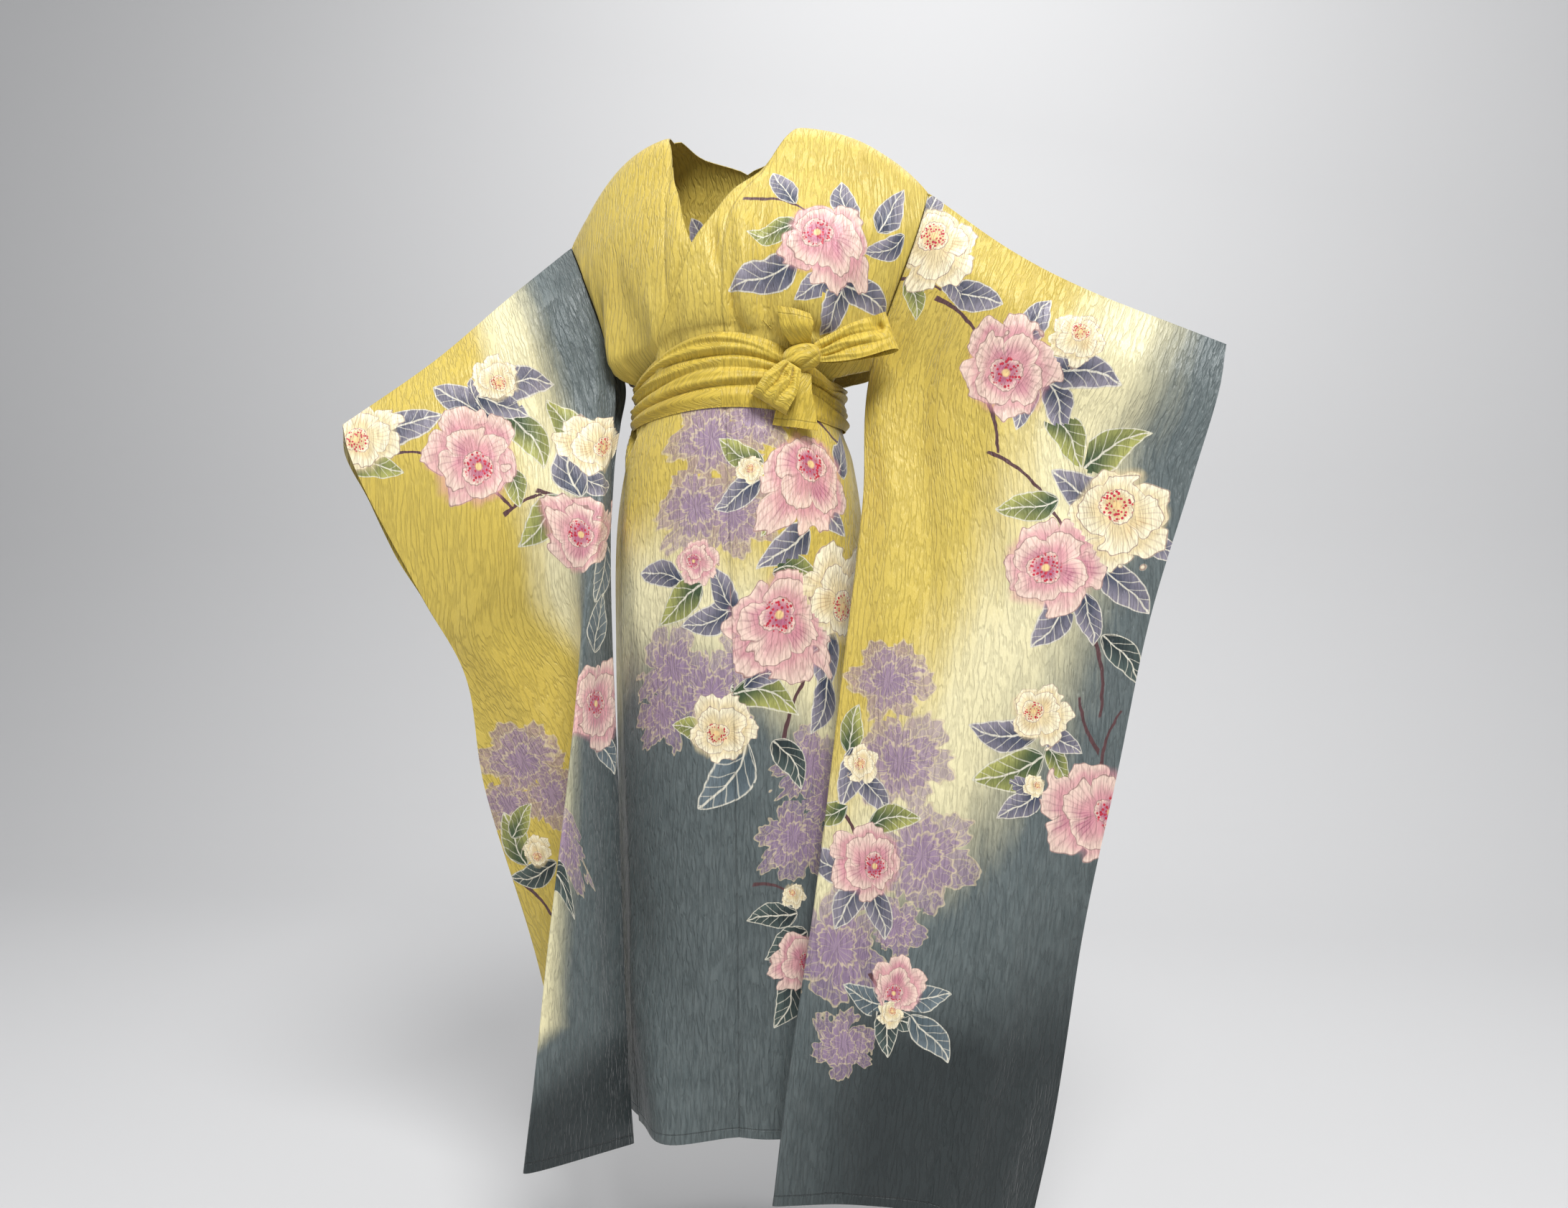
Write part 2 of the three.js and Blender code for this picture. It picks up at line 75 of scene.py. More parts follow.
# %% Camera, lights and a pale sweep
CAMERA_PLACE = (0.2671, -1.4772, -0.62)
CAMERA_TURN = 8
CAMERA_LENS = 26
CAMERA_SENSOR = 36
FLOOR_HEIGHT = -1.47
LIGHTS = {
    "window": {"at": (0.9, -2.3, 2.2), "size": 1.5, "watts": 150, "aim": (0.0, 0, -0.5)},
    "fill": {"at": (-2.6, -1.9, 0.4), "size": 2.2, "watts": 12, "aim": (0.05, 0, -0.7)},
    "back": {"at": (0.6, 1.1, 1.9), "size": 2.0, "watts": 14, "aim": (0, 0, -0.5)},
    "wall": {"at": (0.2, 0.7, 2.4), "size": 2.4, "watts": 42, "aim": (0.1, 2.8, 0.4)},
}
AIR_TONE = (0.90, 0.91, 0.93, 1)
AIR_STRENGTH = 0.42
WALL_TONE = (0.60, 0.60, 0.605, 1)
WALL_ROUGHNESS = 0.9
# metres: the sweep's breadth and length, its flat part, the bend's radius, and where it starts
SWEEP = {"wide": 16, "long": 12, "flat": 5.2, "bend": 1.2, "start": -3.6}
SWEEP_ROWS = 60


def select_nothing():
    bpy.ops.object.select_all(action="DESELECT")


def look_at(thing, target):
    thing.rotation_mode = "QUATERNION"
    reach = Vector(target) - Vector(thing.location)
    thing.rotation_quaternion = reach.to_track_quat("-Z", "Y")


def add_camera():
    bpy.ops.object.camera_add(location=CAMERA_PLACE)
    camera = bpy.context.object
    camera.name = "camera"
    camera.rotation_euler = (math.radians(90), 0, math.radians(CAMERA_TURN))
    camera.data.lens = CAMERA_LENS
    camera.data.sensor_width = CAMERA_SENSOR
    bpy.context.scene.camera = camera


def add_lights():
    for name, light in LIGHTS.items():
        bpy.ops.object.light_add(type="AREA", location=light["at"])
        lamp = bpy.context.object
        lamp.name = name
        lamp.data.shape = "DISK"
        lamp.data.size = light["size"]
        lamp.data.energy = light["watts"]
        look_at(lamp, light["aim"])
    world = bpy.data.worlds.new("studio air")
    bpy.context.scene.world = world
    world.use_nodes = True
    air = world.node_tree.nodes["Background"]
    air.inputs["Color"].default_value = AIR_TONE
    air.inputs["Strength"].default_value = AIR_STRENGTH


def add_sweep():
    """A floor that bends up into a wall: one grid, rolled over a quarter of a circle."""
    bpy.ops.mesh.primitive_grid_add(x_subdivisions=1, y_subdivisions=SWEEP_ROWS, size=1)
    sweep = bpy.context.object
    sweep.name = "floor and wall"
    flat, bend, start = SWEEP["flat"], SWEEP["bend"], SWEEP["start"]
    arc = bend * math.pi / 2
    for point in sweep.data.vertices:
        along = (point.co.y + 0.5) * SWEEP["long"]
        x = point.co.x * SWEEP["wide"]
        if along < flat:
            y, z = along, 0
        elif along < flat + arc:
            turn = (along - flat) / bend
            y, z = flat + bend * math.sin(turn), bend * (1 - math.cos(turn))
        else:
            y, z = flat + bend, bend + along - flat - arc
        point.co = (x, y + start, z + FLOOR_HEIGHT)
    bpy.ops.object.shade_smooth()
    paint = bpy.data.materials.new("pale paper")
    paint.use_nodes = True
    shader = paint.node_tree.nodes["Principled BSDF"]
    shader.inputs["Base Color"].default_value = WALL_TONE
    shader.inputs["Roughness"].default_value = WALL_ROUGHNESS
    sweep.data.materials.append(paint)


select_nothing()
add_camera()
add_lights()
add_sweep()
bpy.context.scene.view_settings.view_transform = "Standard"
print("camera lens:", CAMERA_LENS, "mm")

# %% [markdown]
# ## The sizes that shape the cloth
# The pattern of the garment is kept in short tables, in millimetres. Each row is one level of the
# body or of a sleeve, and a smooth curve is read between the rows. These are the measures that the
# solids were built from, so the cloth made here lies on them. Only the slope of the shoulders is a
# little straighter here, by up to a centimetre, because that is how the real cloth falls.

# %% Tables that are read smoothly
def table(names, rows):
    columns = {"at": np.array([row[0] for row in rows], float)}
    for index, name in enumerate(names):
        columns[name] = np.array([row[index] for row in rows], float)
    return columns


def fade(start, end, value):
    share = np.clip((np.asarray(value, float) - start) / (end - start), 0, 1)
    return share * share * (3 - 2 * share)


def mix(first, second, share):
    return first + (second - first) * share


def slopes(at, values):
    last = len(at) - 1
    before = np.maximum(np.arange(last + 1) - 1, 0)
    after = np.minimum(np.arange(last + 1) + 1, last)
    return (values[after] - values[before]) / (at[after] - at[before])


def read(columns, name, where):
    at = columns["at"]
    values = columns[name]
    where = np.clip(np.asarray(where, float), at[0], at[-1])
    index = np.clip(np.searchsorted(at, where, side="right") - 1, 0, len(at) - 2)
    span = at[index + 1] - at[index]
    share = (where - at[index]) / span
    rise = share * share * (3 - 2 * share)
    slope = slopes(at, values)
    leave = slope[index] * span * share * (1 - share) ** 2
    arrive = slope[index + 1] * span * share**2 * (1 - share)
    return values[index] + (values[index + 1] - values[index]) * rise + leave - arrive


print("a quarter of the way along a fade:", fade(0, 1, 0.25))


# %% The body's levels, edges and large folds
ARMHOLE_ANGLE = 66
SIDE_ANGLE = 91
LAP = 3
# the level of the hem: the levels count from 0 at the shoulders, and 1 is the armhole's end
HEM_LEVEL = 2

BODY = table(["station", "height", "half", "front", "back", "dip", "power"], [
    [0.00, 0, 262, 0, 0, 0, 3.5],
    [0.05, -5, 256, 32, 34, 0, 3.5],
    [0.12, -20, 250, 52, 56, 0, 3.4],
    [0.20, -42, 244, 64, 72, 0, 3.3],
    [0.30, -74, 236, 77, 84, 0, 3.2],
    [0.40, -108, 228, 100, 92, 0, 3.0],
    [0.50, -143, 218, 117, 96, 0, 2.8],
    [0.60, -178, 208, 129, 97, 0, 2.5],
    [0.75, -223, 196, 133, 95, 0, 2.2],
    [0.90, -258, 186, 131, 92, 0, 2.0],
    [1.00, -277, 181, 126, 90, 46, 2.0],
    [1.05, -286, 136, 121, 88, 48, 2.0],
    [1.12, -326, 132, 117, 88, 30, 2.0],
    [1.20, -382, 136, 121, 95, 12, 2.0],
    [1.28, -432, 150, 129, 106, 4, 2.0],
    [1.40, -530, 163, 136, 115, 0, 2.0],
    [1.55, -680, 164, 139, 118, 0, 2.0],
    [1.75, -920, 160, 139, 119, 0, 2.0],
    [1.90, -1120, 156, 138, 120, 0, 2.0],
    [2.00, -1264, 153, 138, 121, 0, 2.0],
])

EDGES = table(["station", "leftNeck", "leftSeam", "rightNeck", "rightSeam", "backNeck"], [
    [0.00, 83, 83, -88, -88, 86],
    [0.08, 78, 78, -86, -86, 62],
    [0.15, 68, 68, -80, -80, 0],
    [0.23, 56, 56, -76, -76, 0],
    [0.32, 38, 42, -70, -76, 0],
    [0.40, 10, 24, -60, -76, 0],
    [0.50, -11, 9, -51, -75, 0],
    [0.60, -34, 4, -37, -73, 0],
    [0.75, -52, 3, -4, -70, 0],
    [0.90, -70, 3, 35, -64, 0],
    [1.00, -80, 3, 58, -60, 0],
    [1.20, -112, 5, 96, -48, 0],
    [1.28, -128, 8, 104, -42, 0],
    [1.40, -134, 12, 108, -36, 0],
    [1.55, -134, 17, 108, -32, 0],
    [1.75, -124, 21, 104, -30, 0],
    [1.90, -114, 23, 100, -30, 0],
    [2.00, -106, 24, 96, -30, 0],
])

# middle and breadth in degrees, depth in mm, first and last level, lean in degrees
BODY_FOLDS = [
    (-20, 13, 30, 1.8, 2.02, -26),
    (8, 10, -9, 1.5, 2, 12),
    (42, 14, 10, 1.35, 2, 8),
    (74, 12, -10, 1.4, 2, -6),
    (104, 13, 13, 1.35, 1.95, 5),
    (136, 12, -11, 1.45, 2, -8),
    (166, 15, 12, 1.3, 1.9, 6),
    (-162, 11, -9, 1.5, 2, -4),
    (-138, 14, 14, 1.4, 2, 7),
    (-108, 12, -8, 1.5, 2, 5),
    (-57, 10, 9, 0.55, 0.95, 0),
    (56, 10, 8, 0.55, 0.95, 0),
    (150, 16, 8, 0.5, 0.9, 0),
    (-148, 14, 8, 0.5, 0.9, 0),
]
print("body levels:", len(BODY["at"]))

# %% The sleeves' levels
FRONT_COLUMNS = ["station", "innerX", "innerY", "innerZ", "foldX", "foldY", "foldZ",
                 "hollowX", "hollowY", "hollowZ", "outerX", "outerY", "outerZ"]
BACK_COLUMNS = ["station", "innerX", "innerY", "foldX", "foldY",
                "hollowX", "hollowY", "outerX", "outerY"]

LEFT_FRONT = table(FRONT_COLUMNS, [
    [0.00, 249, -61, -111, 347, -88, -194, 425, -112, -247, 589, -119, -322],
    [0.06, 233, -73, -168, 339, -116, -262, 428, -134, -321, 578, -132, -377],
    [0.18, 174, -38, -325, 311, -108, -369, 421, -124, -415, 548, -139, -476],
    [0.35, 167, -77, -495, 289, -118, -538, 387, -139, -565, 500, -145, -636],
    [0.55, 144, -116, -714, 256, -147, -740, 353, -158, -758, 463, -152, -811],
    [0.75, 116, -150, -966, 215, -172, -974, 312, -180, -983, 424, -158, -994],
    [0.90, 87, -172, -1171, 188, -191, -1165, 280, -195, -1177, 391, -162, -1206],
    [1.00, 71, -187, -1314, 168, -202, -1297, 256, -201, -1303, 357, -167, -1361],
])
LEFT_BACK = table(BACK_COLUMNS, [
    [0.00, 249, -61, 347, -88, 425, -112, 589, -119],
    [0.06, 236, -8, 345, -50, 430, -72, 581, -88],
    [0.18, 178, 22, 312, -58, 421, -84, 550, -113],
    [0.26, 174, -6, 302, -68, 404, -96, 524, -137],
    [0.35, 172, -32, 292, -80, 389, -109, 500, -142],
    [0.55, 148, -82, 259, -117, 355, -133, 463, -149],
    [0.75, 118, -122, 217, -146, 313, -157, 424, -155],
    [0.90, 88, -154, 189, -174, 281, -180, 391, -159],
    [1.00, 71, -184, 168, -199, 256, -198, 357, -164],
])
RIGHT_FRONT = table(FRONT_COLUMNS, [
    [0.00, -228, -8, -142, -293, -74, -227, -362, -130, -313, -447, -204, -405],
    [0.06, -201, -45, -191, -279, -112, -293, -353, -168, -373, -436, -210, -439],
    [0.18, -157, -46, -321, -236, -108, -400, -318, -168, -465, -411, -199, -503],
    [0.30, -152, -72, -444, -166, -110, -488, -240, -134, -548, -362, -167, -615],
    [0.45, -146, -91, -619, -164, -145, -628, -197, -98, -655, -327, -122, -714],
    [0.62, -134, -105, -816, -170, -182, -807, -176, -95, -819, -315, -90, -860],
    [0.80, -122, -118, -1054, -185, -218, -1026, -174, -95, -1063, -262, -50, -1082],
    [0.92, -114, -122, -1203, -194, -234, -1161, -174, -95, -1212, -238, -28, -1235],
    [1.00, -107, -126, -1282, -203, -246, -1266, -177, -96, -1290, -234, -18, -1325],
])
RIGHT_BACK = table(BACK_COLUMNS, [
    [0.00, -228, -8, -293, -74, -362, -130, -447, -204],
    [0.06, -203, 22, -311, -62, -385, -122, -458, -178],
    [0.18, -160, 18, -258, -60, -338, -128, -420, -184],
    [0.24, -159, -8, -224, -70, -300, -122, -394, -180],
    [0.30, -159, -38, -190, -80, -254, -112, -364, -164],
    [0.45, -158, -70, -172, -115, -188, -76, -328, -119],
    [0.62, -146, -90, -164, -146, -162, -76, -315, -87],
    [0.80, -134, -103, -171, -174, -158, -78, -261, -47],
    [0.92, -126, -108, -177, -190, -159, -80, -237, -25],
    [1.00, -110, -122, -198, -235, -172, -91, -232, -15],
])
SLEEVES = {
    "left": {"front": LEFT_FRONT, "back": LEFT_BACK},
    "right": {"front": RIGHT_FRONT, "back": RIGHT_BACK},
}
ARMHOLE_END = 0.18
print("sleeve levels:", len(LEFT_FRONT["at"]), "and", len(RIGHT_FRONT["at"]))

# %% [markdown]
# ## Points of the cloth
# A surface is a rule that turns two shares, across and down, into a place in space. The sleeve's
# rule draws a smooth curve through four points at each level. The body's rule goes round the
# garment by angle, from the centre front, and adds its large folds. numpy works on whole arrays of
# points at once, so a fine grid costs no more code than one point.

# %% A smooth curve through four points
SHORTEST = 1e-4


def smooth_curve(stops, share):
    """A centripetal curve through four stops, which are arrays of points."""
    first = 2 * stops[0] - stops[1]
    last = 2 * stops[3] - stops[2]
    points = [first, *stops, last]
    place = np.clip(share, 0, 1) * 3
    leg = np.clip(np.floor(place).astype(int), 0, 2)
    part = (place - leg)[:, None]
    p0, p1, p2, p3 = [
        np.choose(leg[:, None], [points[k + step] for k in range(3)]) for step in range(4)
    ]
    d0 = np.sqrt(np.linalg.norm(p1 - p0, axis=1))[:, None]
    d1 = np.sqrt(np.linalg.norm(p2 - p1, axis=1))[:, None]
    d2 = np.sqrt(np.linalg.norm(p3 - p2, axis=1))[:, None]
    d1 = np.maximum(d1, SHORTEST)
    d0 = np.where(d0 < SHORTEST, d1, d0)
    d2 = np.where(d2 < SHORTEST, d1, d2)
    t1 = ((p1 - p0) / d0 - (p2 - p0) / (d0 + d1) + (p2 - p1) / d1) * d1
    t2 = ((p2 - p1) / d1 - (p3 - p1) / (d1 + d2) + (p3 - p2) / d2) * d1
    bent = -3 * p1 + 3 * p2 - 2 * t1 - t2
    sharp = 2 * p1 - 2 * p2 + t1 + t2
    return p1 + part * (t1 + part * (bent + part * sharp))


def sleeve_point(side, layer, across, station):
    wall = SLEEVES[side][layer]
    heights = SLEEVES[side]["front"]
    stops = [
        np.stack([
            read(wall, f"{stop}X", station),
            read(wall, f"{stop}Y", station),
            read(heights, f"{stop}Z", station),
        ], axis=-1)
        for stop in ("inner", "fold", "hollow", "outer")
    ]
    return smooth_curve(stops, across)


middle = np.array([0.5])
print("middle of the left sleeve, mm:", sleeve_point("left", "front", middle, middle).round(1))

# %% The body, by angle round it and level down it
# levels: where the sleeve ends, where the body's own section takes over, where the seams settle
SLEEVE_ENDS = 1
BODY_ALONE = 1.05
SEAMS_SETTLE = 1.15
# levels between which the folds above the waist die out, and the large folds and the lap begin
WAIST = (0.97, 1.04)
FOLDS_BEGIN = (0.2, 0.5)
LAP_BEGINS = (0.35, 0.55)
# degrees from the centre front: how far the lap is full, how much further below, how softly it ends
LAP_REACH = {"full": 35, "more": 25, "soft": 25}
LEAST_DEPTH = 40
# how late, on the way round to the side, the section bends to meet the sleeve
SIDE_POWER = 4


def sine(degrees):
    return np.sin(np.radians(degrees))


def cosine(degrees):
    return np.cos(np.radians(degrees))


def armhole(side, layer, station, axis):
    level = np.minimum(station, 1) * ARMHOLE_END
    wall = SLEEVES[side]["front" if axis == "Z" else layer]
    return read(wall, f"inner{axis}", level)


def armhole_beside(left, front, station, axis):
    """The armhole's place on the side and the wall that each point belongs to."""
    left_side, right_side = [
        np.where(front, armhole(side, "front", station, axis), armhole(side, "back", station, axis))
        for side in ("left", "right")
    ]
    return np.where(left, left_side, right_side)


def half_width(side, station):
    upper = np.abs(armhole(side, "front", station, "X")) / sine(ARMHOLE_ANGLE)
    own = fade(SLEEVE_ENDS, BODY_ALONE, station)
    return mix(upper, read(BODY, "half", station), own)


def angle_of(distance, station):
    half = np.where(distance >= 0, half_width("left", station), half_width("right", station))
    return np.degrees(np.arcsin(np.clip(distance / half, -1, 1)))


def turned_apart(angle, other):
    turn = np.abs(angle - other) % 360
    return np.minimum(turn, 360 - turn)


def fold_depth(angle, station):
    total = np.zeros_like(station, dtype=float)
    for centre, breadth, depth, start, end, lean in BODY_FOLDS:
        swell = fade(start, end, station)
        distance = turned_apart(angle, centre + lean * (1 - swell)) / breadth
        strength = swell if end > 1 else swell * (1 - fade(*WAIST, station))
        total += depth * strength * np.exp(-distance * distance)
    return total


def body_point(angle, station, layer):
    left = sine(angle) >= 0
    front = cosine(angle) >= 0
    depth = np.where(front, read(BODY, "front", station), read(BODY, "back", station))
    spread = np.abs(sine(angle)) / sine(ARMHOLE_ANGLE)
    half = np.where(left, half_width("left", station), half_width("right", station))
    upper = 1 - fade(SLEEVE_ENDS, BODY_ALONE, station)
    sewn = armhole_beside(left, front, station, "Y")
    sewn_depth = sewn + depth * np.where(front, 1, -1) * cosine(ARMHOLE_ANGLE)
    height = read(BODY, "height", station)
    sewn_height = armhole_beside(left, front, station, "Z")
    side_height = mix(height - read(BODY, "dip", station), sewn_height, upper)
    inside = np.minimum(spread, 1)
    x = half * sine(angle)
    y = -depth * cosine(angle) + sewn_depth * upper * inside**SIDE_POWER
    z = mix(height, side_height, inside ** read(BODY, "power", station))
    full = LAP_REACH["full"] + LAP_REACH["more"] * fade(SLEEVE_ENDS, SEAMS_SETTLE, station)
    beside = fade(0, LAP_REACH["soft"], turned_apart(angle, 0) - full)
    lapped = LAP * fade(*LAP_BEGINS, station) * (1 - beside)
    out = layer * lapped + fold_depth(angle, station) * fade(*FOLDS_BEGIN, station)
    outward = np.stack([
        sine(angle) * np.maximum(depth, LEAST_DEPTH),
        -cosine(angle) * half,
    ], axis=-1)
    outward /= np.linalg.norm(outward, axis=-1, keepdims=True)
    return np.stack([x + outward[..., 0] * out, y + outward[..., 1] * out, z], axis=-1)


print("front waist point, mm:", body_point(np.array([0.0]), np.array([1.2]), 0).round(1))

# %% [markdown]
# ## Distances along the cloth
# A print belongs to the flat cloth, so it needs places measured along the cloth, not in the room.
# On a sleeve they are the distance from the inner edge and the distance from the fold along the
# arm. On the body they are the distance round from the centre front and down from the shoulder,
# taken from one dense net of points, so that a flower runs on over the seam between two panels.

# %% Measure along rows and columns
MM = 0.001


def running_length(points, axis):
    steps = np.linalg.norm(np.diff(points, axis=axis), axis=-1)
    total = np.cumsum(steps, axis=axis)
    start = np.zeros_like(np.take(total, [0], axis=axis))
    return np.concatenate([start, total], axis=axis)


NET_STEP = 2.0
NET_ANGLES = np.arange(-180, 181, NET_STEP)
NET_STATIONS = np.linspace(0, HEM_LEVEL, 241)
LAST_COLUMN = len(NET_ANGLES) - 1
LAST_ROW = len(NET_STATIONS) - 1
TINY = 0.001
net_station, net_angle = np.meshgrid(NET_STATIONS, NET_ANGLES, indexing="ij")
net_points = body_point(net_angle.ravel(), net_station.ravel(), 0)
net_points = net_points.reshape(*net_angle.shape, 3) * MM
net_round = running_length(net_points, 1)
net_round = net_round - net_round[:, [LAST_COLUMN // 2]]
net_down = running_length(net_points, 0)


def body_measure(angle, station, back=False):
    """Metres round from the centre front, or from the centre back, and down from the shoulders."""
    angle = (angle + 180 - TINY) % 360 - (180 - TINY)
    column = np.clip((angle + 180) / NET_STEP, 0, LAST_COLUMN - TINY)
    row = np.clip(station * LAST_ROW / HEM_LEVEL, 0, LAST_ROW - TINY)
    c, r = np.floor(column).astype(int), np.floor(row).astype(int)
    fc, fr = column - c, row - r

    def between(net):
        top = mix(net[r, c], net[r, c + 1], fc)
        low = mix(net[r + 1, c], net[r + 1, c + 1], fc)
        return mix(top, low, fr)

    distance = between(net_round)
    if back:
        whole = np.where(angle > 0, net_round[r, -1], net_round[r, 0])
        distance = whole - distance
    return distance, between(net_down)


waist = net_round[np.searchsorted(NET_STATIONS, BODY_ALONE)]
print("cloth round the waist:", round(float(waist[-1] - waist[0]), 3), "m")

# %% [markdown]
# ## Folds placed one by one
# Cloth that hangs is never even. Each fold below is a soft ridge or trough along a short line on
# the cloth: where it starts and ends in metres along the cloth, how broad and how deep it is. They
# are uneven on purpose. The same rule bends both layers of the front, so that they never touch.

# %% Soft ridges and troughs
# across0, down0, across1, down1, breadth, depth: metres along the cloth, depth outwards
FRONT_FOLDS = [
    (-0.235, 0.10, -0.182, 0.36, 0.007, -0.0085),
    (-0.222, 0.12, -0.166, 0.36, 0.008, 0.0080),
    (-0.205, 0.15, -0.148, 0.36, 0.008, -0.0090),
    (-0.190, 0.17, -0.132, 0.37, 0.009, 0.0070),
    (-0.165, 0.16, -0.108, 0.34, 0.012, -0.0045),
    (-0.15, 0.25, -0.12, 0.37, 0.008, -0.0045),
    (-0.10, 0.26, -0.085, 0.37, 0.009, 0.0045),
    (-0.055, 0.24, -0.06, 0.37, 0.010, -0.0040),
    (-0.03, 0.16, -0.09, 0.33, 0.013, 0.0035),
    (-0.01, 0.22, 0.022, 0.35, 0.007, -0.0090),
    (0.02, 0.18, 0.036, 0.34, 0.009, 0.0080),
    (0.05, 0.19, 0.056, 0.35, 0.010, -0.0100),
    (0.085, 0.20, 0.078, 0.34, 0.010, 0.0070),
    (0.09, 0.315, 0.145, 0.30, 0.011, -0.0100),
    (0.115, 0.27, 0.175, 0.27, 0.012, 0.0050),
    (0.20, 0.14, 0.14, 0.31, 0.014, -0.0060),
    (0.225, 0.20, 0.17, 0.33, 0.012, 0.0050),
    (-0.14, 0.47, -0.10, 0.72, 0.014, 0.0030),
    (-0.07, 0.50, -0.09, 0.80, 0.018, -0.0025),
    (0.05, 0.50, 0.07, 0.86, 0.020, 0.0030),
    (0.12, 0.48, 0.11, 0.78, 0.015, -0.0035),
    (-0.05, 1.06, 0.01, 0.86, 0.018, 0.0035),
    (-0.12, 0.95, -0.09, 1.22, 0.016, -0.0030),
    (0.03, 0.95, 0.05, 1.24, 0.018, -0.0035),
    (0.14, 0.86, 0.16, 1.20, 0.020, 0.0040),
    (-0.19, 0.60, -0.17, 1.10, 0.018, -0.0040),
    (0.21, 0.60, 0.20, 1.15, 0.018, -0.0040),
]
BACK_FOLDS = [
    (0.12, 0.14, 0.05, 0.34, 0.017, -0.0060),
    (0.06, 0.10, 0.02, 0.32, 0.014, 0.0050),
    (0.20, 0.16, 0.12, 0.36, 0.016, -0.0060),
    (0.16, 0.24, 0.09, 0.37, 0.010, 0.0045),
    (-0.11, 0.15, -0.06, 0.35, 0.015, 0.0055),
    (-0.04, 0.12, -0.01, 0.33, 0.018, -0.0055),
    (-0.20, 0.16, -0.12, 0.36, 0.013, -0.0060),
    (-0.16, 0.24, -0.10, 0.37, 0.010, 0.0045),
    (0.10, 0.48, 0.07, 0.92, 0.020, 0.0040),
    (0.01, 0.50, 0.03, 1.00, 0.017, -0.0035),
    (-0.09, 0.49, -0.06, 0.88, 0.018, -0.0040),
    (-0.16, 0.52, -0.14, 1.05, 0.022, 0.0040),
    (0.07, 0.95, 0.10, 1.25, 0.018, -0.0035),
    (-0.07, 0.98, -0.04, 1.24, 0.020, 0.0040),
]
LEFT_SLEEVE_FOLDS = [
    (0.02, 0.20, 0.06, 0.62, 0.020, 0.0060),
    (0.07, 0.12, 0.10, 0.50, 0.018, -0.0065),
    (0.16, 0.06, 0.20, 0.36, 0.022, 0.0055),
    (0.26, 0.05, 0.27, 0.32, 0.018, -0.0060),
    (0.33, 0.04, 0.30, 0.26, 0.015, 0.0050),
    (0.10, 0.52, 0.12, 1.05, 0.026, 0.0065),
    (0.17, 0.58, 0.20, 1.10, 0.020, -0.0070),
    (0.25, 0.48, 0.22, 0.98, 0.022, 0.0055),
    (0.05, 0.78, 0.07, 1.18, 0.018, -0.0055),
    (0.28, 0.88, 0.25, 1.18, 0.020, 0.0060),
    (0.13, 0.98, 0.22, 1.02, 0.008, 0.0022),
]
RIGHT_SLEEVE_FOLDS = [
    (0.05, 0.06, 0.11, 0.26, 0.016, -0.0065),
    (0.11, 0.05, 0.15, 0.30, 0.015, 0.0055),
    (0.02, 0.12, 0.05, 0.36, 0.012, 0.0050),
    (0.20, 0.08, 0.18, 0.36, 0.020, -0.0055),
    (0.24, 0.22, 0.22, 0.60, 0.022, 0.0055),
    (0.03, 0.55, 0.03, 1.05, 0.014, -0.0025),
    (0.17, 0.45, 0.16, 0.85, 0.016, -0.0035),
    (0.21, 0.70, 0.19, 1.12, 0.018, 0.0035),
    (0.05, 0.80, 0.04, 1.15, 0.014, 0.0025),
]
# share of a fold over which it rises and dies, and how its line wavers
FOLD_LEAD = 0.22
FOLD_WAVER = {"size": 0.15, "waves": 9, "start": 40}


def fold_height(across, down, folds):
    height = np.zeros_like(across)
    for across0, down0, across1, down1, breadth, depth in folds:
        run = np.array([across1 - across0, down1 - down0])
        length = np.hypot(*run)
        run = run / length
        along = ((across - across0) * run[0] + (down - down0) * run[1]) / length
        aside = (across - across0) * run[1] - (down - down0) * run[0]
        waver = np.sin(along * FOLD_WAVER["waves"] + across0 * FOLD_WAVER["start"])
        aside = aside + FOLD_WAVER["size"] * breadth * waver
        swell = fade(-FOLD_LEAD, FOLD_LEAD, along) * (1 - fade(1 - FOLD_LEAD, 1 + FOLD_LEAD, along))
        height += depth * swell * np.exp(-((aside / breadth) ** 2))
    return height


ALL_FOLDS = (FRONT_FOLDS, BACK_FOLDS, LEFT_SLEEVE_FOLDS, RIGHT_SLEEVE_FOLDS)
print("folds placed:", sum(map(len, ALL_FOLDS)))

# %% [markdown]
# ## A sheet of cloth
# Every panel starts as Blender's flat grid. Its points are then moved to their places on the form,
# pushed in or out by the folds, and sewn down in a fine groove along the seams. The grid keeps its
# order, so the cloth's own distances can be stored as the UV map, in metres. A Solidify modifier
# turns the sheet into a thin closed shell, the way real silk has a face and a back.

# %% One sheet from a flat grid
# metres: the cloth, a seam's groove, and how near a free edge the folds die out
CLOTH_THICKNESS = 0.0009
SEAM_GROOVE = 0.0012
SEAM_BREADTH = 0.0035
EDGE_CALM = 0.012
# metres: far from any seam or hem
FAR = 1
ALMOST_NOTHING = 1e-9
FACES_ASKED = 50
sheets = {}


def grid_shares(mesh, columns, rows):
    """The order of the grid's points, row by row from the top, and their shares across and down."""
    flat = np.empty(len(mesh.vertices) * 3)
    mesh.vertices.foreach_get("co", flat)
    flat = flat.reshape(-1, 3)
    order = np.lexsort((flat[:, 0].round(6), -flat[:, 1].round(6)))
    shape = (rows + 1, columns + 1)
    return order, (flat[order, 0] + 0.5).reshape(shape), (0.5 - flat[order, 1]).reshape(shape)


def normals_of(points, outward):
    normal = np.cross(np.gradient(points, axis=0), np.gradient(points, axis=1))
    normal /= np.maximum(np.linalg.norm(normal, axis=-1, keepdims=True), ALMOST_NOTHING)
    return -normal if (normal * outward(points)).sum() < 0 else normal


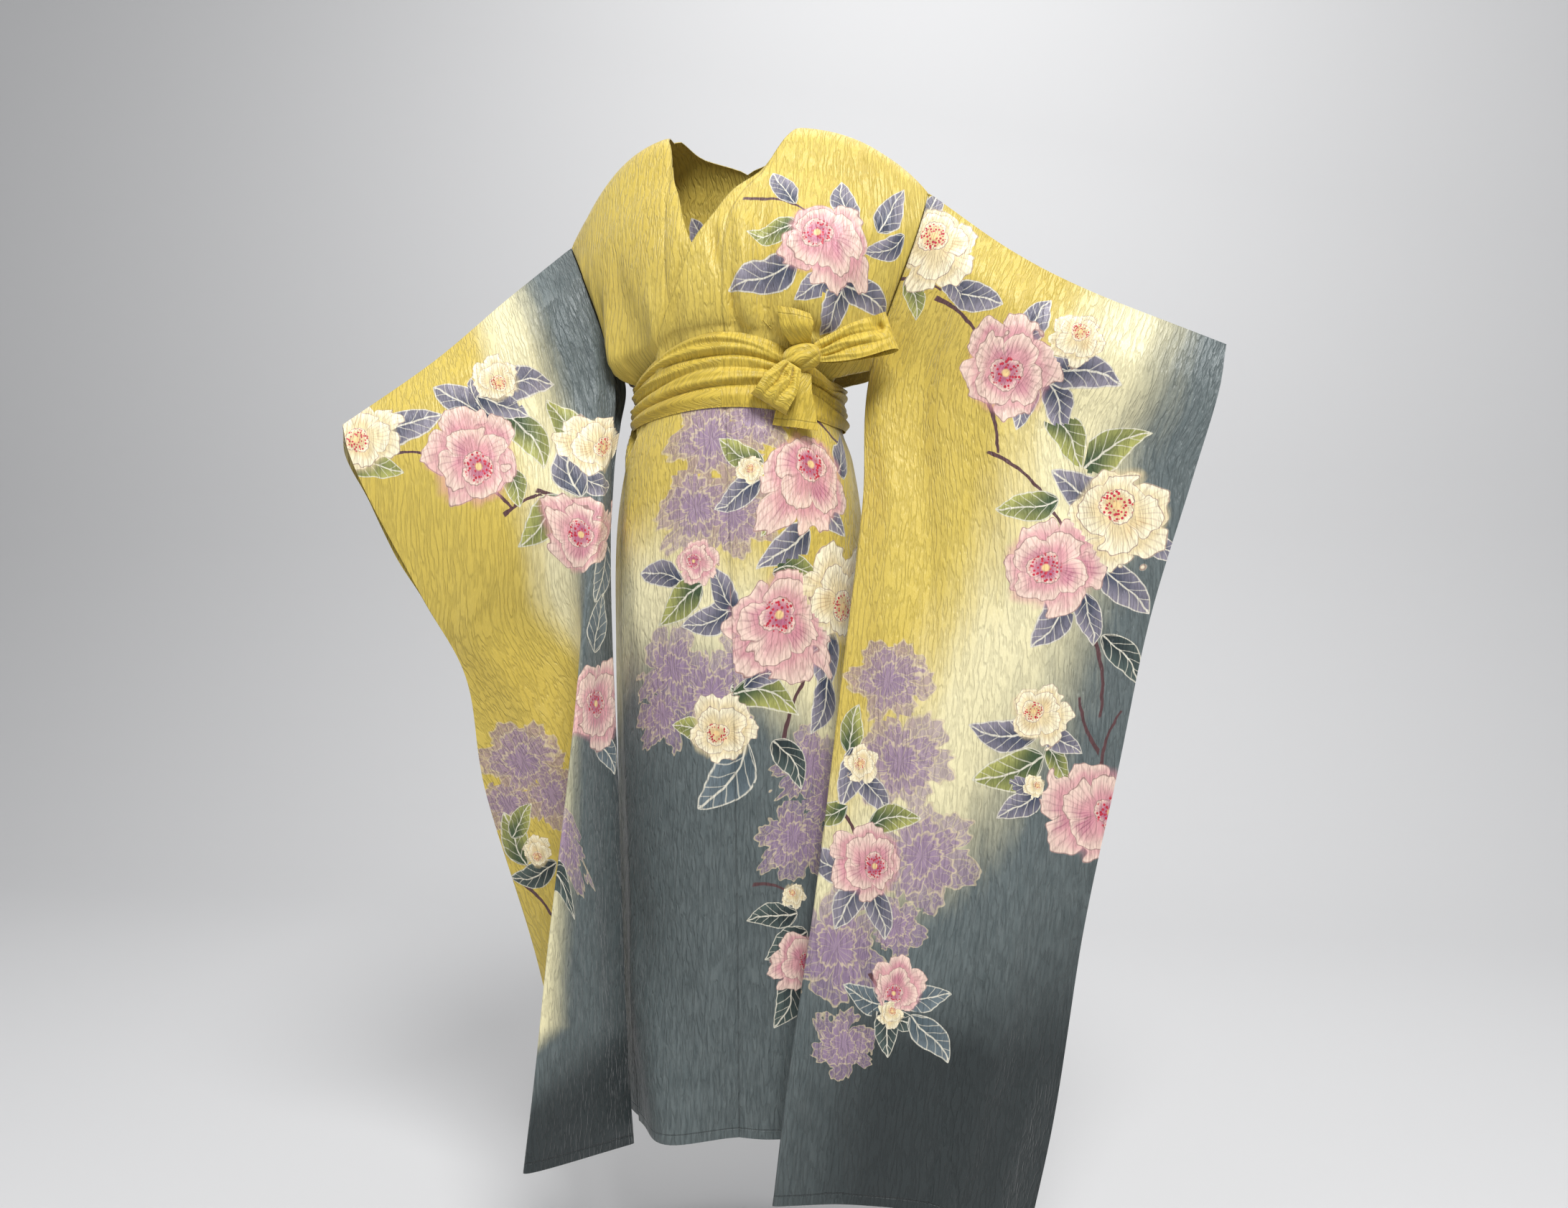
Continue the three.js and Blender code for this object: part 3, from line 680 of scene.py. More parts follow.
def face_outwards(mesh, outward):
    """A few faces tell which way the sheet looks. If that is inwards, all are turned over."""
    faces = mesh.polygons[:FACES_ASKED]
    turned = np.array([face.normal[:] for face in faces])
    centres = np.array([face.center[:] for face in faces])
    if (turned * outward(centres / MM)).sum() < 0:
        mesh.flip_normals()


def keep_number(mesh, sheet, name, values):
    attribute = mesh.attributes.new(name, "FLOAT", "POINT")
    attribute.data.foreach_set("value", values.ravel()[sheet["order"]].astype(np.float32))


def store_measures(mesh, sheet):
    corners = np.empty(len(mesh.loops), np.int32)
    mesh.loops.foreach_get("vertex_index", corners)
    pick = sheet["order"][corners]
    places = np.stack([sheet["across"].ravel()[pick], sheet["down"].ravel()[pick]], axis=-1)
    mesh.uv_layers[0].name = "cloth"
    mesh.uv_layers[0].data.foreach_set("uv", places.ravel().astype(np.float32))
    sheet["corners"] = pick
    for measure in ("hem", "sewn"):
        keep_number(mesh, sheet, measure, sheet[measure])


def cloth_sheet(name, columns, rows, place, outward, folds=(), grooves=(),
                hemmed=True, free_edge_shaded=False):
    """place gives points in mm and the two distances in m, for shares across and down."""
    select_nothing()
    bpy.ops.mesh.primitive_grid_add(x_subdivisions=columns, y_subdivisions=rows, size=1)
    piece = bpy.context.object
    piece.name = name
    mesh = piece.data
    order, share_across, share_down = grid_shares(mesh, columns, rows)

    points, across, down = place(share_across, share_down)
    normal = normals_of(points, outward)
    wide = running_length(points * MM, 1)
    long = running_length(points * MM, 0)
    if across is None:
        across, down = wide, long
    sides = {"first": wide, "last": wide[:, [-1]] - wide, "bottom": long[[-1], :] - long}
    edge = np.minimum(np.minimum(sides["first"], sides["last"]), sides["bottom"])
    height = fold_height(across, down, folds) * fade(0, EDGE_CALM, edge)
    for side in grooves:
        height = height - SEAM_GROOVE * np.exp(-((sides[side] / SEAM_BREADTH) ** 2))
    placed = points * MM + normal * height[..., None]

    moved = np.empty((len(order), 3))
    moved[order] = placed.reshape(-1, 3)
    mesh.vertices.foreach_set("co", moved.ravel())
    mesh.update()
    face_outwards(mesh, outward)
    # a free edge is kept with the seams, so that it gets a thin line of painted shade
    sewn = [sides[side] for side in grooves] + [sides["first"] + (0 if free_edge_shaded else FAR)]
    sheets[name] = {
        "points": placed,
        "normal": normal,
        "across": across,
        "down": down,
        "order": np.argsort(order),
        "hem": sides["bottom"] + (0 if hemmed else FAR),
        "sewn": np.min(sewn, axis=0),
    }
    store_measures(mesh, sheets[name])
    bpy.ops.object.shade_smooth()
    return piece


print("thickness of the cloth, mm:", round(CLOTH_THICKNESS / MM, 2))

# %% The six body panels
BODY_ROWS = 240
BODY_COLUMNS = 44
OVERLAP_COLUMNS = 26
OVERLAP_START = 0.25
LEVELS = np.linspace(0, HEM_LEVEL, 801)
# the rows are spaced along the front, at this angle from its middle
ROW_ANGLE = 30.0
# the body is broader than deep, so a step outwards counts this much more from front to back
BODY_DEEPWAYS = 1.3
level_points = body_point(np.full(len(LEVELS), ROW_ANGLE), LEVELS, 0)
level_length = running_length(level_points, 0)


def even_station(first, share):
    """Levels that are evenly spaced down the cloth, from the first one to the hem."""
    start = np.interp(first, LEVELS, level_length)
    return np.interp(mix(start, level_length[-1], share), level_length, LEVELS)


def seam_angle(station):
    return mix(ARMHOLE_ANGLE, SIDE_ANGLE, fade(SLEEVE_ENDS, SEAMS_SETTLE, station))


def back_seam_angle(station):
    return mix(180 - ARMHOLE_ANGLE, SIDE_ANGLE, fade(SLEEVE_ENDS, SEAMS_SETTLE, station))


def edge_angle(name):
    return lambda station: angle_of(read(EDGES, name, station), station)


def body_panel(name, first, columns, start, end, layer, folds, grooves):
    back = folds is BACK_FOLDS

    def place(across, down):
        station = even_station(first, down)
        angle = mix(start(station), end(station), across)
        points = body_point(angle.ravel(), station.ravel(), layer).reshape(*across.shape, 3)
        return points, *body_measure(angle, station, back)

    def outward(points):
        return points * np.array([1, BODY_DEEPWAYS, 0])

    length = level_length[-1] - np.interp(first, LEVELS, level_length)
    rows = round(BODY_ROWS * length / level_length[-1])
    outermost = name == "silk_overlap_left"
    return cloth_sheet(name, columns, rows, place, outward, folds, grooves, free_edge_shaded=outermost)


left_neck, left_seam = edge_angle("leftNeck"), edge_angle("leftSeam")
right_neck, right_seam = edge_angle("rightNeck"), edge_angle("rightSeam")
back_neck = edge_angle("backNeck")
BOTH = ("first", "last")
# The two fronts lie on layers 1 and -1, so that the left one laps over, and the backs on layer 0.
# name, first level, columns, where it starts and ends round the body, layer, folds, sewn sides
BODY_PANELS = [
    ("silk_front_left", 0, BODY_COLUMNS, left_seam, seam_angle, 1, FRONT_FOLDS, BOTH),
    ("silk_overlap_left", OVERLAP_START, OVERLAP_COLUMNS, left_neck, left_seam, 1,
     FRONT_FOLDS, ("last",)),
    ("silk_front_right", 0, BODY_COLUMNS, lambda level: -seam_angle(level), right_seam, -1,
     FRONT_FOLDS, BOTH),
    ("silk_overlap_right", OVERLAP_START, OVERLAP_COLUMNS, right_seam, right_neck, -1,
     FRONT_FOLDS, ("first",)),
    ("silk_back_left", 0, BODY_COLUMNS, back_seam_angle, lambda level: 180 - back_neck(level), 0,
     BACK_FOLDS, BOTH),
    ("silk_back_right", 0, BODY_COLUMNS, lambda level: 180 + back_neck(level),
     lambda level: 360 - back_seam_angle(level), 0, BACK_FOLDS, BOTH),
]
for panel in BODY_PANELS:
    body_panel(*panel)
print("body panels:", len(sheets))

# %% The four sleeve walls
# mm between the sleeve and the body along the armhole
SLEEVE_GAP = 1.2
SLEEVE_COLUMNS = 72
SLEEVE_ROWS = 210
# above 1, the rows stand closer together near the arm
ROW_CROWD = 1.15
# how many of its side's folds a back wall has too
BACK_FOLDS_LEFT = 9
BACK_FOLDS_RIGHT = 8


def sleeve_wall(name, side, layer, folds):
    outwards = 1 if side == "left" else -1
    facing = np.array([0, -1, 0]) if layer == "front" else np.array([0, 1, 0])

    def place(across, down):
        station = down**ROW_CROWD
        points = sleeve_point(side, layer, across.ravel(), station.ravel())
        points = points.reshape(*across.shape, 3)
        points[..., 0] += outwards * SLEEVE_GAP * (1 - across)
        return points, None, None

    def outward(points):
        return np.broadcast_to(facing, points.shape)

    return cloth_sheet(name, SLEEVE_COLUMNS, SLEEVE_ROWS, place, outward, folds, ("first",))


sleeve_wall("silk_left_sleeve_front", "left", "front", LEFT_SLEEVE_FOLDS)
sleeve_wall("silk_left_sleeve_back", "left", "back", LEFT_SLEEVE_FOLDS[:BACK_FOLDS_LEFT])
sleeve_wall("silk_right_sleeve_front", "right", "front", RIGHT_SLEEVE_FOLDS)
sleeve_wall("silk_right_sleeve_back", "right", "back", RIGHT_SLEEVE_FOLDS[:BACK_FOLDS_RIGHT])
sleeve = sheets["silk_left_sleeve_front"]
print("sleeve, m across and down:", sleeve["across"].max().round(3), sleeve["down"].max().round(3))

# %% [markdown]
# ## Where the dye and the flowers go
# The silk is dyed in a soft change from yellow through cream to slate. It is kept as one number
# for each point, 0 for yellow and 1 for slate, read from short tables of where the change starts
# and ends. Above 1 the number is painted shade that darkens the slate towards the bottom, up to 2
# for the darkest. The sprays are ordinary painted camellias, leaves and stems.
# Each row gives a place on the cloth in metres, a size, a turn in degrees and a kind, and the
# drawing itself is done later in the material. The flowers follow the real garment in kind, place
# and size, and none is traced.

# %% The change of dye, and painted shade towards the bottom
# down the cloth, where yellow ends and where slate is full, as metres from the inner edge
LEFT_DYE = table(["down", "yellow", "slate"], [
    [0.00, 0.205, 0.390],
    [0.20, 0.168, 0.380],
    [0.37, 0.120, 0.335],
    [0.48, 0.075, 0.300],
    [0.59, 0.040, 0.258],
    [0.70, -0.010, 0.204],
    [0.79, -0.050, 0.146],
    [0.86, -0.080, 0.090],
    [0.94, -0.110, 0.010],
    [1.25, -0.300, -0.100],
])
RIGHT_DYE = table(["down", "slate", "yellow"], [
    [0.00, 0.070, 0.210],
    [0.20, 0.060, 0.200],
    [0.35, 0.060, 0.170],
    [0.50, 0.062, 0.145],
    [0.80, 0.075, 0.180],
    [1.20, 0.100, 0.240],
])
# the body: metres down where yellow ends and slate is full, and how fast both sink to the left
BODY_DYE = {"yellow": 0.560, "slate": 0.830, "sink": 0.55, "widest": 0.17}
# the right sleeve's outer top corner turns pale, and its lower end is darkened to deep slate by
# painted shade
PALE_CORNER = {"dye_and_shade": 0.45, "across": (0.33, 0.42), "down": (0.0, 0.10)}
PAINTED_SHADE_BELOW = {"dye_and_shade": 2.2, "down": (0.86, 1.10)}
# the least and the most dye on the body and on a sleeve, where above 1 the number is painted shade
BODY_RANGE = (-0.3, 1.3)
SLEEVE_RANGE = (-0.3, 2.4)


def body_dye_and_shade(across, down):
    sink = BODY_DYE["sink"] * np.clip(across, -BODY_DYE["widest"], BODY_DYE["widest"])
    start = BODY_DYE["yellow"] + sink
    return np.clip((down - start) / (BODY_DYE["slate"] - BODY_DYE["yellow"]), *BODY_RANGE)


def left_dye_and_shade(across, down):
    start = read(LEFT_DYE, "yellow", down)
    return np.clip((across - start) / (read(LEFT_DYE, "slate", down) - start), *SLEEVE_RANGE)


def right_dye_and_shade(across, down):
    start = read(RIGHT_DYE, "slate", down)
    share = 1 - (across - start) / (read(RIGHT_DYE, "yellow", down) - start)
    corner = fade(*PALE_CORNER["across"], across) * (1 - fade(*PALE_CORNER["down"], down))
    # painted shade: the sleeve's lower end darkened to deep slate
    lower = PAINTED_SHADE_BELOW["dye_and_shade"] * fade(*PAINTED_SHADE_BELOW["down"], down)
    return np.clip(np.maximum(np.maximum(share, PALE_CORNER["dye_and_shade"] * corner), lower), *SLEEVE_RANGE)


print("slate is full at", BODY_DYE["slate"], "m down the front")

# %% The places of the sprays
# metres across, metres down, half size, turn in degrees, and a number for the kind. A flower is
# pink below 1 and white above. A leaf is blue below 1, green below 2, dark below 3, then outline
# alone. Its decimals make each one a little different. A stem has its thickness there instead.
FLOWERS = {
    "front": [
        (0.133, 0.200, 0.053, 10, 0.1), (0.104, 0.509, 0.057, 30, 0.2),
        (-0.026, 0.631, 0.025, 60, 0.3), (0.149, 0.597, 0.052, -20, 1.1),
        (0.076, 0.704, 0.062, -40, 0.4), (0.006, 0.828, 0.038, 15, 1.2),
        (0.036, 0.522, 0.016, 80, 1.3), (0.089, 1.024, 0.014, 90, 1.4),
        (0.094, 1.098, 0.032, 0, 0.5),
    ],
    "left sleeve": [
        (0.037, 0.059, 0.050, -30, 1.5), (0.180, 0.138, 0.054, 20, 0.6),
        (0.245, 0.073, 0.030, 0, 1.6), (0.334, 0.246, 0.054, 50, 1.7),
        (0.254, 0.328, 0.052, -60, 0.7), (0.244, 0.497, 0.032, 15, 1.8),
        (0.304, 0.566, 0.052, 40, 0.8), (0.240, 0.576, 0.012, 0, 1.9),
        (0.052, 0.791, 0.040, 75, 0.15), (0.038, 0.694, 0.020, 90, 1.15),
        (0.113, 0.872, 0.028, 10, 0.25), (0.110, 0.909, 0.014, 60, 1.25),
    ],
    "right sleeve": [
        (0.360, 0.030, 0.040, 20, 1.35), (0.224, 0.157, 0.052, -35, 0.35),
        (0.171, 0.104, 0.027, 5, 1.45), (0.048, 0.257, 0.040, 30, 1.55),
        (0.067, 0.343, 0.045, -70, 0.45), (0.290, 0.616, 0.018, 30, 1.65),
        (0.034, 0.603, 0.050, -20, 0.55),
    ],
}
LEAVES = {
    "front": [
        (0.074, 0.149, 0.023, 115, 0.1), (0.153, 0.132, 0.025, 100, 0.2),
        (0.064, 0.217, 0.024, 190, 1.1), (0.052, 0.273, 0.034, 205, 0.3),
        (0.140, 0.261, 0.027, 250, 0.4), (0.190, 0.194, 0.029, -30, 0.5),
        (0.220, 0.080, 0.025, 60, 0.15), (0.209, 0.122, 0.021, 200, 0.25),
        (0.117, 0.257, 0.025, 215, 0.35), (0.024, 0.498, 0.023, 150, 1.2),
        (0.021, 0.548, 0.025, 215, 0.45), (0.079, 0.604, 0.032, 215, 0.55),
        (0.134, 0.519, 0.029, -40, 0.65), (0.096, 0.629, 0.025, -10, 1.3),
        (0.168, 0.395, 0.024, 60, 0.75), (0.061, 0.579, 0.019, 240, 1.35),
        (-0.075, 0.630, 0.025, 165, 0.12), (-0.051, 0.675, 0.029, 220, 1.4),
        (-0.011, 0.696, 0.028, 200, 0.22), (0.008, 0.663, 0.023, 120, 0.32),
        (0.130, 0.704, 0.031, 260, 0.42), (0.125, 0.765, 0.027, 250, 0.52),
        (0.056, 0.795, 0.032, -15, 1.5), (0.083, 0.867, 0.026, -60, 2.1),
        (0.007, 0.889, 0.038, 235, 3.1), (0.056, 0.772, 0.021, 20, 0.62),
        (-0.031, 0.829, 0.021, 170, 1.6), (0.063, 1.054, 0.023, 190, 2.2),
        (0.079, 1.083, 0.023, 215, 2.3), (0.079, 1.155, 0.025, 250, 2.4),
    ],
    "left sleeve": [
        (0.108, 0.091, 0.028, -20, 0.1), (0.026, 0.126, 0.021, -80, 1.1),
        (0.076, 0.094, 0.021, -60, 0.2), (0.012, 0.020, 0.023, 75, 0.3),
        (0.194, 0.079, 0.026, 60, 0.4), (0.265, 0.113, 0.033, -15, 0.5),
        (0.249, 0.162, 0.026, -75, 0.6), (0.210, 0.176, 0.022, -110, 0.7),
        (0.268, 0.191, 0.028, -60, 1.2), (0.231, 0.114, 0.020, 150, 0.8),
        (0.289, 0.231, 0.031, 150, 0.9), (0.216, 0.282, 0.027, 190, 1.3),
        (0.325, 0.177, 0.033, 30, 1.4), (0.335, 0.315, 0.030, -45, 0.12),
        (0.245, 0.392, 0.029, -120, 0.22), (0.384, 0.253, 0.021, -20, 0.32),
        (0.291, 0.367, 0.023, -80, 0.42), (0.338, 0.387, 0.025, -55, 2.1),
        (0.200, 0.540, 0.029, 175, 0.52), (0.209, 0.576, 0.032, 200, 1.5),
        (0.224, 0.603, 0.023, 215, 0.62), (0.267, 0.514, 0.021, -30, 0.72),
        (0.264, 0.539, 0.018, -60, 1.6), (0.226, 0.581, 0.016, 160, 0.82),
        (0.024, 0.666, 0.022, 80, 1.7), (0.023, 0.723, 0.026, -100, 0.92),
        (0.055, 0.712, 0.022, -50, 0.14), (0.085, 0.716, 0.024, 10, 1.8),
        (0.017, 0.827, 0.028, 165, 0.24), (0.038, 0.849, 0.027, -110, 0.34),
        (0.076, 0.823, 0.025, -70, 0.44), (0.000, 0.788, 0.021, 200, 1.9),
        (0.080, 0.916, 0.023, 170, 3.1), (0.145, 0.869, 0.023, 10, 3.2),
        (0.106, 0.932, 0.021, -80, 2.2), (0.157, 0.906, 0.025, -50, 3.3),
        (0.126, 0.907, 0.016, -20, 2.3),
    ],
    "right sleeve": [
        (0.222, 0.101, 0.031, 150, 0.1), (0.142, 0.136, 0.034, 15, 0.2),
        (0.299, 0.077, 0.032, 30, 0.3), (0.172, 0.142, 0.025, -20, 0.4),
        (0.147, 0.194, 0.031, -60, 1.1), (0.347, 0.078, 0.024, -5, 1.2),
        (0.201, 0.110, 0.019, 110, 0.5), (0.083, 0.258, 0.033, 100, 0.6),
        (0.080, 0.213, 0.030, 130, 1.3), (0.140, 0.278, 0.031, 230, 1.4),
        (0.052, 0.301, 0.024, -30, 0.7), (0.175, 0.225, 0.021, -70, 1.5),
        (0.311, 0.580, 0.028, 110, 1.6), (0.307, 0.636, 0.026, 200, 2.1),
        (0.109, 0.770, 0.022, -30, 2.2), (0.295, 0.567, 0.020, 60, 1.7),
        (0.030, 0.430, 0.031, 250, 3.1), (0.030, 0.500, 0.029, 70, 3.2),
        (0.025, 0.672, 0.025, -60, 3.3),
    ],
}
STEMS = {
    "front": [
        (0.063, 0.178, 0.033, -12, 0.055), (0.142, 0.268, 0.017, 80, 0.1),
        (0.094, 0.796, 0.045, 68, 0.05), (0.133, 0.386, 0.029, -40, 0.06),
        (0.068, 1.025, 0.025, -20, 0.06),
    ],
    "left sleeve": [
        (0.090, 0.117, 0.030, -42, 0.07), (0.178, 0.219, 0.030, -80, 0.06),
        (0.206, 0.255, 0.037, -40, 0.05), (0.306, 0.417, 0.043, -85, 0.045),
        (0.303, 0.477, 0.030, 110, 0.06), (0.330, 0.477, 0.029, 70, 0.05),
        (0.027, 0.772, 0.024, -55, 0.08), (0.097, 0.903, 0.025, -60, 0.07),
        (0.025, 0.109, 0.029, -20, 0.06), (0.246, 0.282, 0.022, -50, 0.08),
    ],
    "right sleeve": [
        (0.308, 0.100, 0.028, 5, 0.055), (0.199, 0.219, 0.021, -38, 0.09),
        (0.161, 0.251, 0.023, 28, 0.08), (0.104, 0.284, 0.031, -22, 0.06),
        (0.114, 0.315, 0.019, -60, 0.08), (0.314, 0.679, 0.026, -50, 0.07),
    ],
}
HAZES = {
    "front": [
        (-0.011, 0.480, 0.053, 20, 0.1), (-0.028, 0.565, 0.051, 60, 0.2),
        (0.017, 0.575, 0.043, -30, 0.3), (0.039, 0.456, 0.040, 0, 0.4),
        (0.197, 0.342, 0.025, 40, 0.5), (-0.058, 0.756, 0.048, 10, 0.6),
        (-0.008, 0.790, 0.053, 50, 0.7), (-0.072, 0.807, 0.038, -40, 0.8),
        (0.034, 0.749, 0.038, 80, 0.9), (0.110, 0.851, 0.044, 20, 0.15),
        (0.089, 0.953, 0.042, -60, 0.25), (0.130, 0.874, 0.033, 0, 0.35),
    ],
    "left sleeve": [
        (0.061, 0.578, 0.046, 20, 0.1), (0.085, 0.650, 0.053, 60, 0.2),
        (0.121, 0.725, 0.054, -30, 0.3), (0.034, 0.908, 0.058, 0, 0.4),
        (0.060, 0.992, 0.034, -80, 0.5), (0.101, 0.818, 0.032, 40, 0.6),
    ],
    "right sleeve": [
        (0.262, 0.498, 0.050, 20, 0.1), (0.303, 0.535, 0.036, 60, 0.2),
        (0.243, 0.569, 0.038, -30, 0.3), (0.102, 0.724, 0.031, 0, 0.4),
    ],
}
# how much larger than its row says each motif is drawn, and its breadth as a share of its length
GROWN = {"flower": 1.14, "leaf": 1.38, "other leaf": 1.38, "stem": 1.15, "haze": 1.26}
NARROW = {"flower": 1, "leaf": 0.5, "other leaf": 0.5, "stem": 0.25, "haze": 1}
print("flowers:", sum(map(len, FLOWERS.values())), "leaves:", sum(map(len, LEAVES.values())))

# %% [markdown]
# ## Giving each face its flower
# A material that held a hundred flowers would be slow. Instead each corner of a face stores where
# it lies on the one flower that is nearest: how far across and up from its middle, in half sizes.
# Flowers, leaves, stems and the pale background sprays are layers of their own, leaves in two so
# that they may cross, and the material then draws one of each. The place is worked out on the flat
# cloth, so a flower follows every fold.

# %% Store the nearest flower, leaf and stem
# half sizes: a place off every motif, and how far from its middle a motif is stored
NOWHERE = 9.0
REACH = 1.35
# rows and columns on each side that show how the cloth lies
NEAR = 2


def local_place(sheet, across, down, size, turn):
    """Every point's place on one motif: right and up on the cloth's face, in half sizes."""
    gap = np.hypot(sheet["across"] - across, sheet["down"] - down)
    row, column = np.unravel_index(np.argmin(gap), gap.shape)
    rows, columns = gap.shape
    r0, r1 = max(row - NEAR, 0), min(row + NEAR, rows - 1)
    c0, c1 = max(column - NEAR, 0), min(column + NEAR, columns - 1)

    def change(values):
        sideways = values[row, c1] - values[row, c0]
        downwards = values[r1, column] - values[r0, column]
        return np.stack([sideways, downwards], -1)

    steps = np.stack([change(sheet["across"]), change(sheet["down"])])
    unit = change(sheet["points"]) @ np.linalg.inv(steps)
    normal = sheet["normal"][row, column]
    up = np.array([0, 0, 1.0]) - normal * normal[2]
    up /= np.linalg.norm(up)
    right = np.cross(up, normal)
    offset = np.stack([sheet["across"] - across, sheet["down"] - down])
    flat = np.tensordot(np.stack([right, up]) @ unit, offset, axes=1) / size
    cos, sin = math.cos(math.radians(turn)), math.sin(math.radians(turn))
    return flat[0] * cos + flat[1] * sin, flat[1] * cos - flat[0] * sin


def store_layer(name, layer, motifs):
    mesh = bpy.data.objects[name].data
    sheet = sheets[name]
    corners = sheet["corners"].reshape(-1, 4)
    nearest = np.full(len(corners), REACH)
    stored = np.full((len(corners), 4, 3), NOWHERE)
    for across, down, size, turn, kind in motifs:
        x, y = local_place(sheet, across, down, size * GROWN[layer], turn)
        far = np.hypot(x, y / NARROW[layer]).ravel()[corners].mean(axis=1)
        mine = far < nearest
        nearest[mine] = far[mine]
        stored[mine, :, 0] = x.ravel()[corners[mine]]
        stored[mine, :, 1] = y.ravel()[corners[mine]]
        stored[mine, :, 2] = kind
    attribute = mesh.attributes.new(layer, "FLOAT_VECTOR", "CORNER")
    attribute.data.foreach_set("vector", stored.ravel().astype(np.float32))


def mirrored(motifs):
    return [(-across, down, size, 180 - turn, kind) for across, down, size, turn, kind in motifs]


# each printed sheet's sprays, its dye with painted shade towards the bottom, and whether the sprays
# are turned the other way round
REGIONS = {
    "silk_front_left": ("front", body_dye_and_shade, False),
    "silk_overlap_left": ("front", body_dye_and_shade, False),
    "silk_front_right": ("front", body_dye_and_shade, False),
    "silk_overlap_right": ("front", body_dye_and_shade, False),
    "silk_back_left": ("front", body_dye_and_shade, True),
    "silk_back_right": ("front", body_dye_and_shade, True),
    "silk_left_sleeve_front": ("left sleeve", left_dye_and_shade, False),
    "silk_left_sleeve_back": ("left sleeve", left_dye_and_shade, False),
    "silk_right_sleeve_front": ("right sleeve", right_dye_and_shade, False),
    "silk_right_sleeve_back": ("right sleeve", right_dye_and_shade, False),
}
for name, (region, dye_and_shade, turned) in REGIONS.items():
    sheet = sheets[name]
    keep_number(bpy.data.objects[name].data, sheet, "dye_and_shade", dye_and_shade(sheet["across"], sheet["down"]))
    layers = {
        "flower": FLOWERS[region],
        "leaf": LEAVES[region][::2],
        "other leaf": LEAVES[region][1::2],
        "stem": STEMS[region],
        "haze": HAZES[region],
    }
    for layer, motifs in layers.items():
        store_layer(name, layer, mirrored(motifs) if turned else motifs)
print("printed sheets:", len(REGIONS))

# %% [markdown]
# ## Sums on sockets
# A printed pattern is a lot of small sums: how far from the middle, inside or outside, which
# petal. Math nodes by hand would fill pages, so one small class wraps a socket and lets Python's
# own signs add the nodes. Colours never go through a Math node, which would turn them grey: they
# are mixed.

# %% A socket that can be used in sums
class Value:
    """Wraps a node's socket. Each sign used on it adds one Math node."""

    tree = None

    def __init__(self, socket):
        self.socket = socket

    @staticmethod
    def node(kind, settings=None, values=None, out=0):
        made = Value.tree.nodes.new("ShaderNode" + kind)
        for name, setting in (settings or {}).items():
            setattr(made, name, setting)
        for name, value in (values or {}).items():
            if isinstance(value, Value):
                Value.tree.links.new(value.socket, made.inputs[name])
            else:
                made.inputs[name].default_value = value
        return Value(made.outputs[out])

    @staticmethod
    def sum(operation, *values):
        return Value.node("Math", {"operation": operation}, dict(enumerate(values)))

    def __add__(self, other):
        return Value.sum("ADD", self, other)

    def __sub__(self, other):
        return Value.sum("SUBTRACT", self, other)

    def __rsub__(self, other):
        return Value.sum("SUBTRACT", other, self)

    def __mul__(self, other):
        return Value.sum("MULTIPLY", self, other)

    def __pow__(self, other):
        return Value.sum("POWER", self, other)

    def __rpow__(self, other):
        return Value.sum("POWER", other, self)

    __radd__ = __add__
    __rmul__ = __mul__


def absolute(value):
    return Value.sum("ABSOLUTE", value)


def wave(value):
    return Value.sum("SINE", value)


def rising(value, start, end):
    """0 below start, 1 above end, soft between; or falling where start is above end."""
    return Value.node("MapRange", {"interpolation_type": "SMOOTHSTEP"},
                      {"Value": value, "From Min": start, "From Max": end})


def over(share, below, above):
    return Value.node("Mix", {"data_type": "RGBA"}, {0: share, 6: below, 7: above}, out=2)


def shaded(colour, strength):
    """The colour made darker or lighter by a number near 1."""
    spread = Value.node("CombineXYZ", None, {0: strength, 1: strength, 2: strength})
    return Value.node("VectorMath", {"operation": "MULTIPLY"}, {0: colour, 1: spread})


def silk_tone(red, green, blue):
    """A colour as seen, 0 to 255, as the shader needs it."""
    def straight(part):
        part = part / 255
        return part / 12.92 if part <= 0.04045 else ((part + 0.055) / 1.055) ** 2.4

    return (straight(red), straight(green), straight(blue), 1)


def larger(first, second):
    return Value.sum("MAXIMUM", first, second)


def stored(name):
    """A layer's vector, and its three parts: right, up and kind."""
    vector = Value.node("Attribute", {"attribute_name": name}, out="Vector")
    apart = Value.node("SeparateXYZ", None, {0: vector}).socket.node
    return vector, *[Value(apart.outputs[axis]) for axis in range(3)]


def stored_number(name):
    return Value.node("Attribute", {"attribute_name": name}, out="Fac")


def clouds(vector, scale, detail=2.0, stretch=(1, 1, 1)):
    """Soft noise, about 0 to 1, on a vector that is stretched first."""
    placed = Value.node("Mapping", None, {"Vector": vector, "Scale": stretch})
    return Value.node("TexNoise", None, {"Vector": placed, "Scale": scale, "Detail": detail})


print("socket sums are ready")

# %% [markdown]
# ## Drawing one flower
# A camellia is drawn from its own middle outwards. Three rings of petals lie on each other, and
# each ring's edge goes in and out with the angle. A petal is pale at its edge and deep at its
# root, with a fine brown outline and hair-thin veins, as a painter leaves them. A ring of red dots
# round a pale spot is the middle. Noise on the flower's own place pulls every edge about, so none
# are alike.

# %% Petals
PINK = {
    "pale": silk_tone(236, 208, 192),
    "deep": silk_tone(210, 146, 154),
    "root": silk_tone(166, 70, 116),
}
WHITE = {
    "pale": silk_tone(244, 234, 202),
    "deep": silk_tone(226, 206, 158),
    "root": silk_tone(208, 174, 118),
}
OUTLINE = silk_tone(122, 76, 80)
STAMEN = silk_tone(190, 40, 62)
HEART = silk_tone(234, 200, 140)
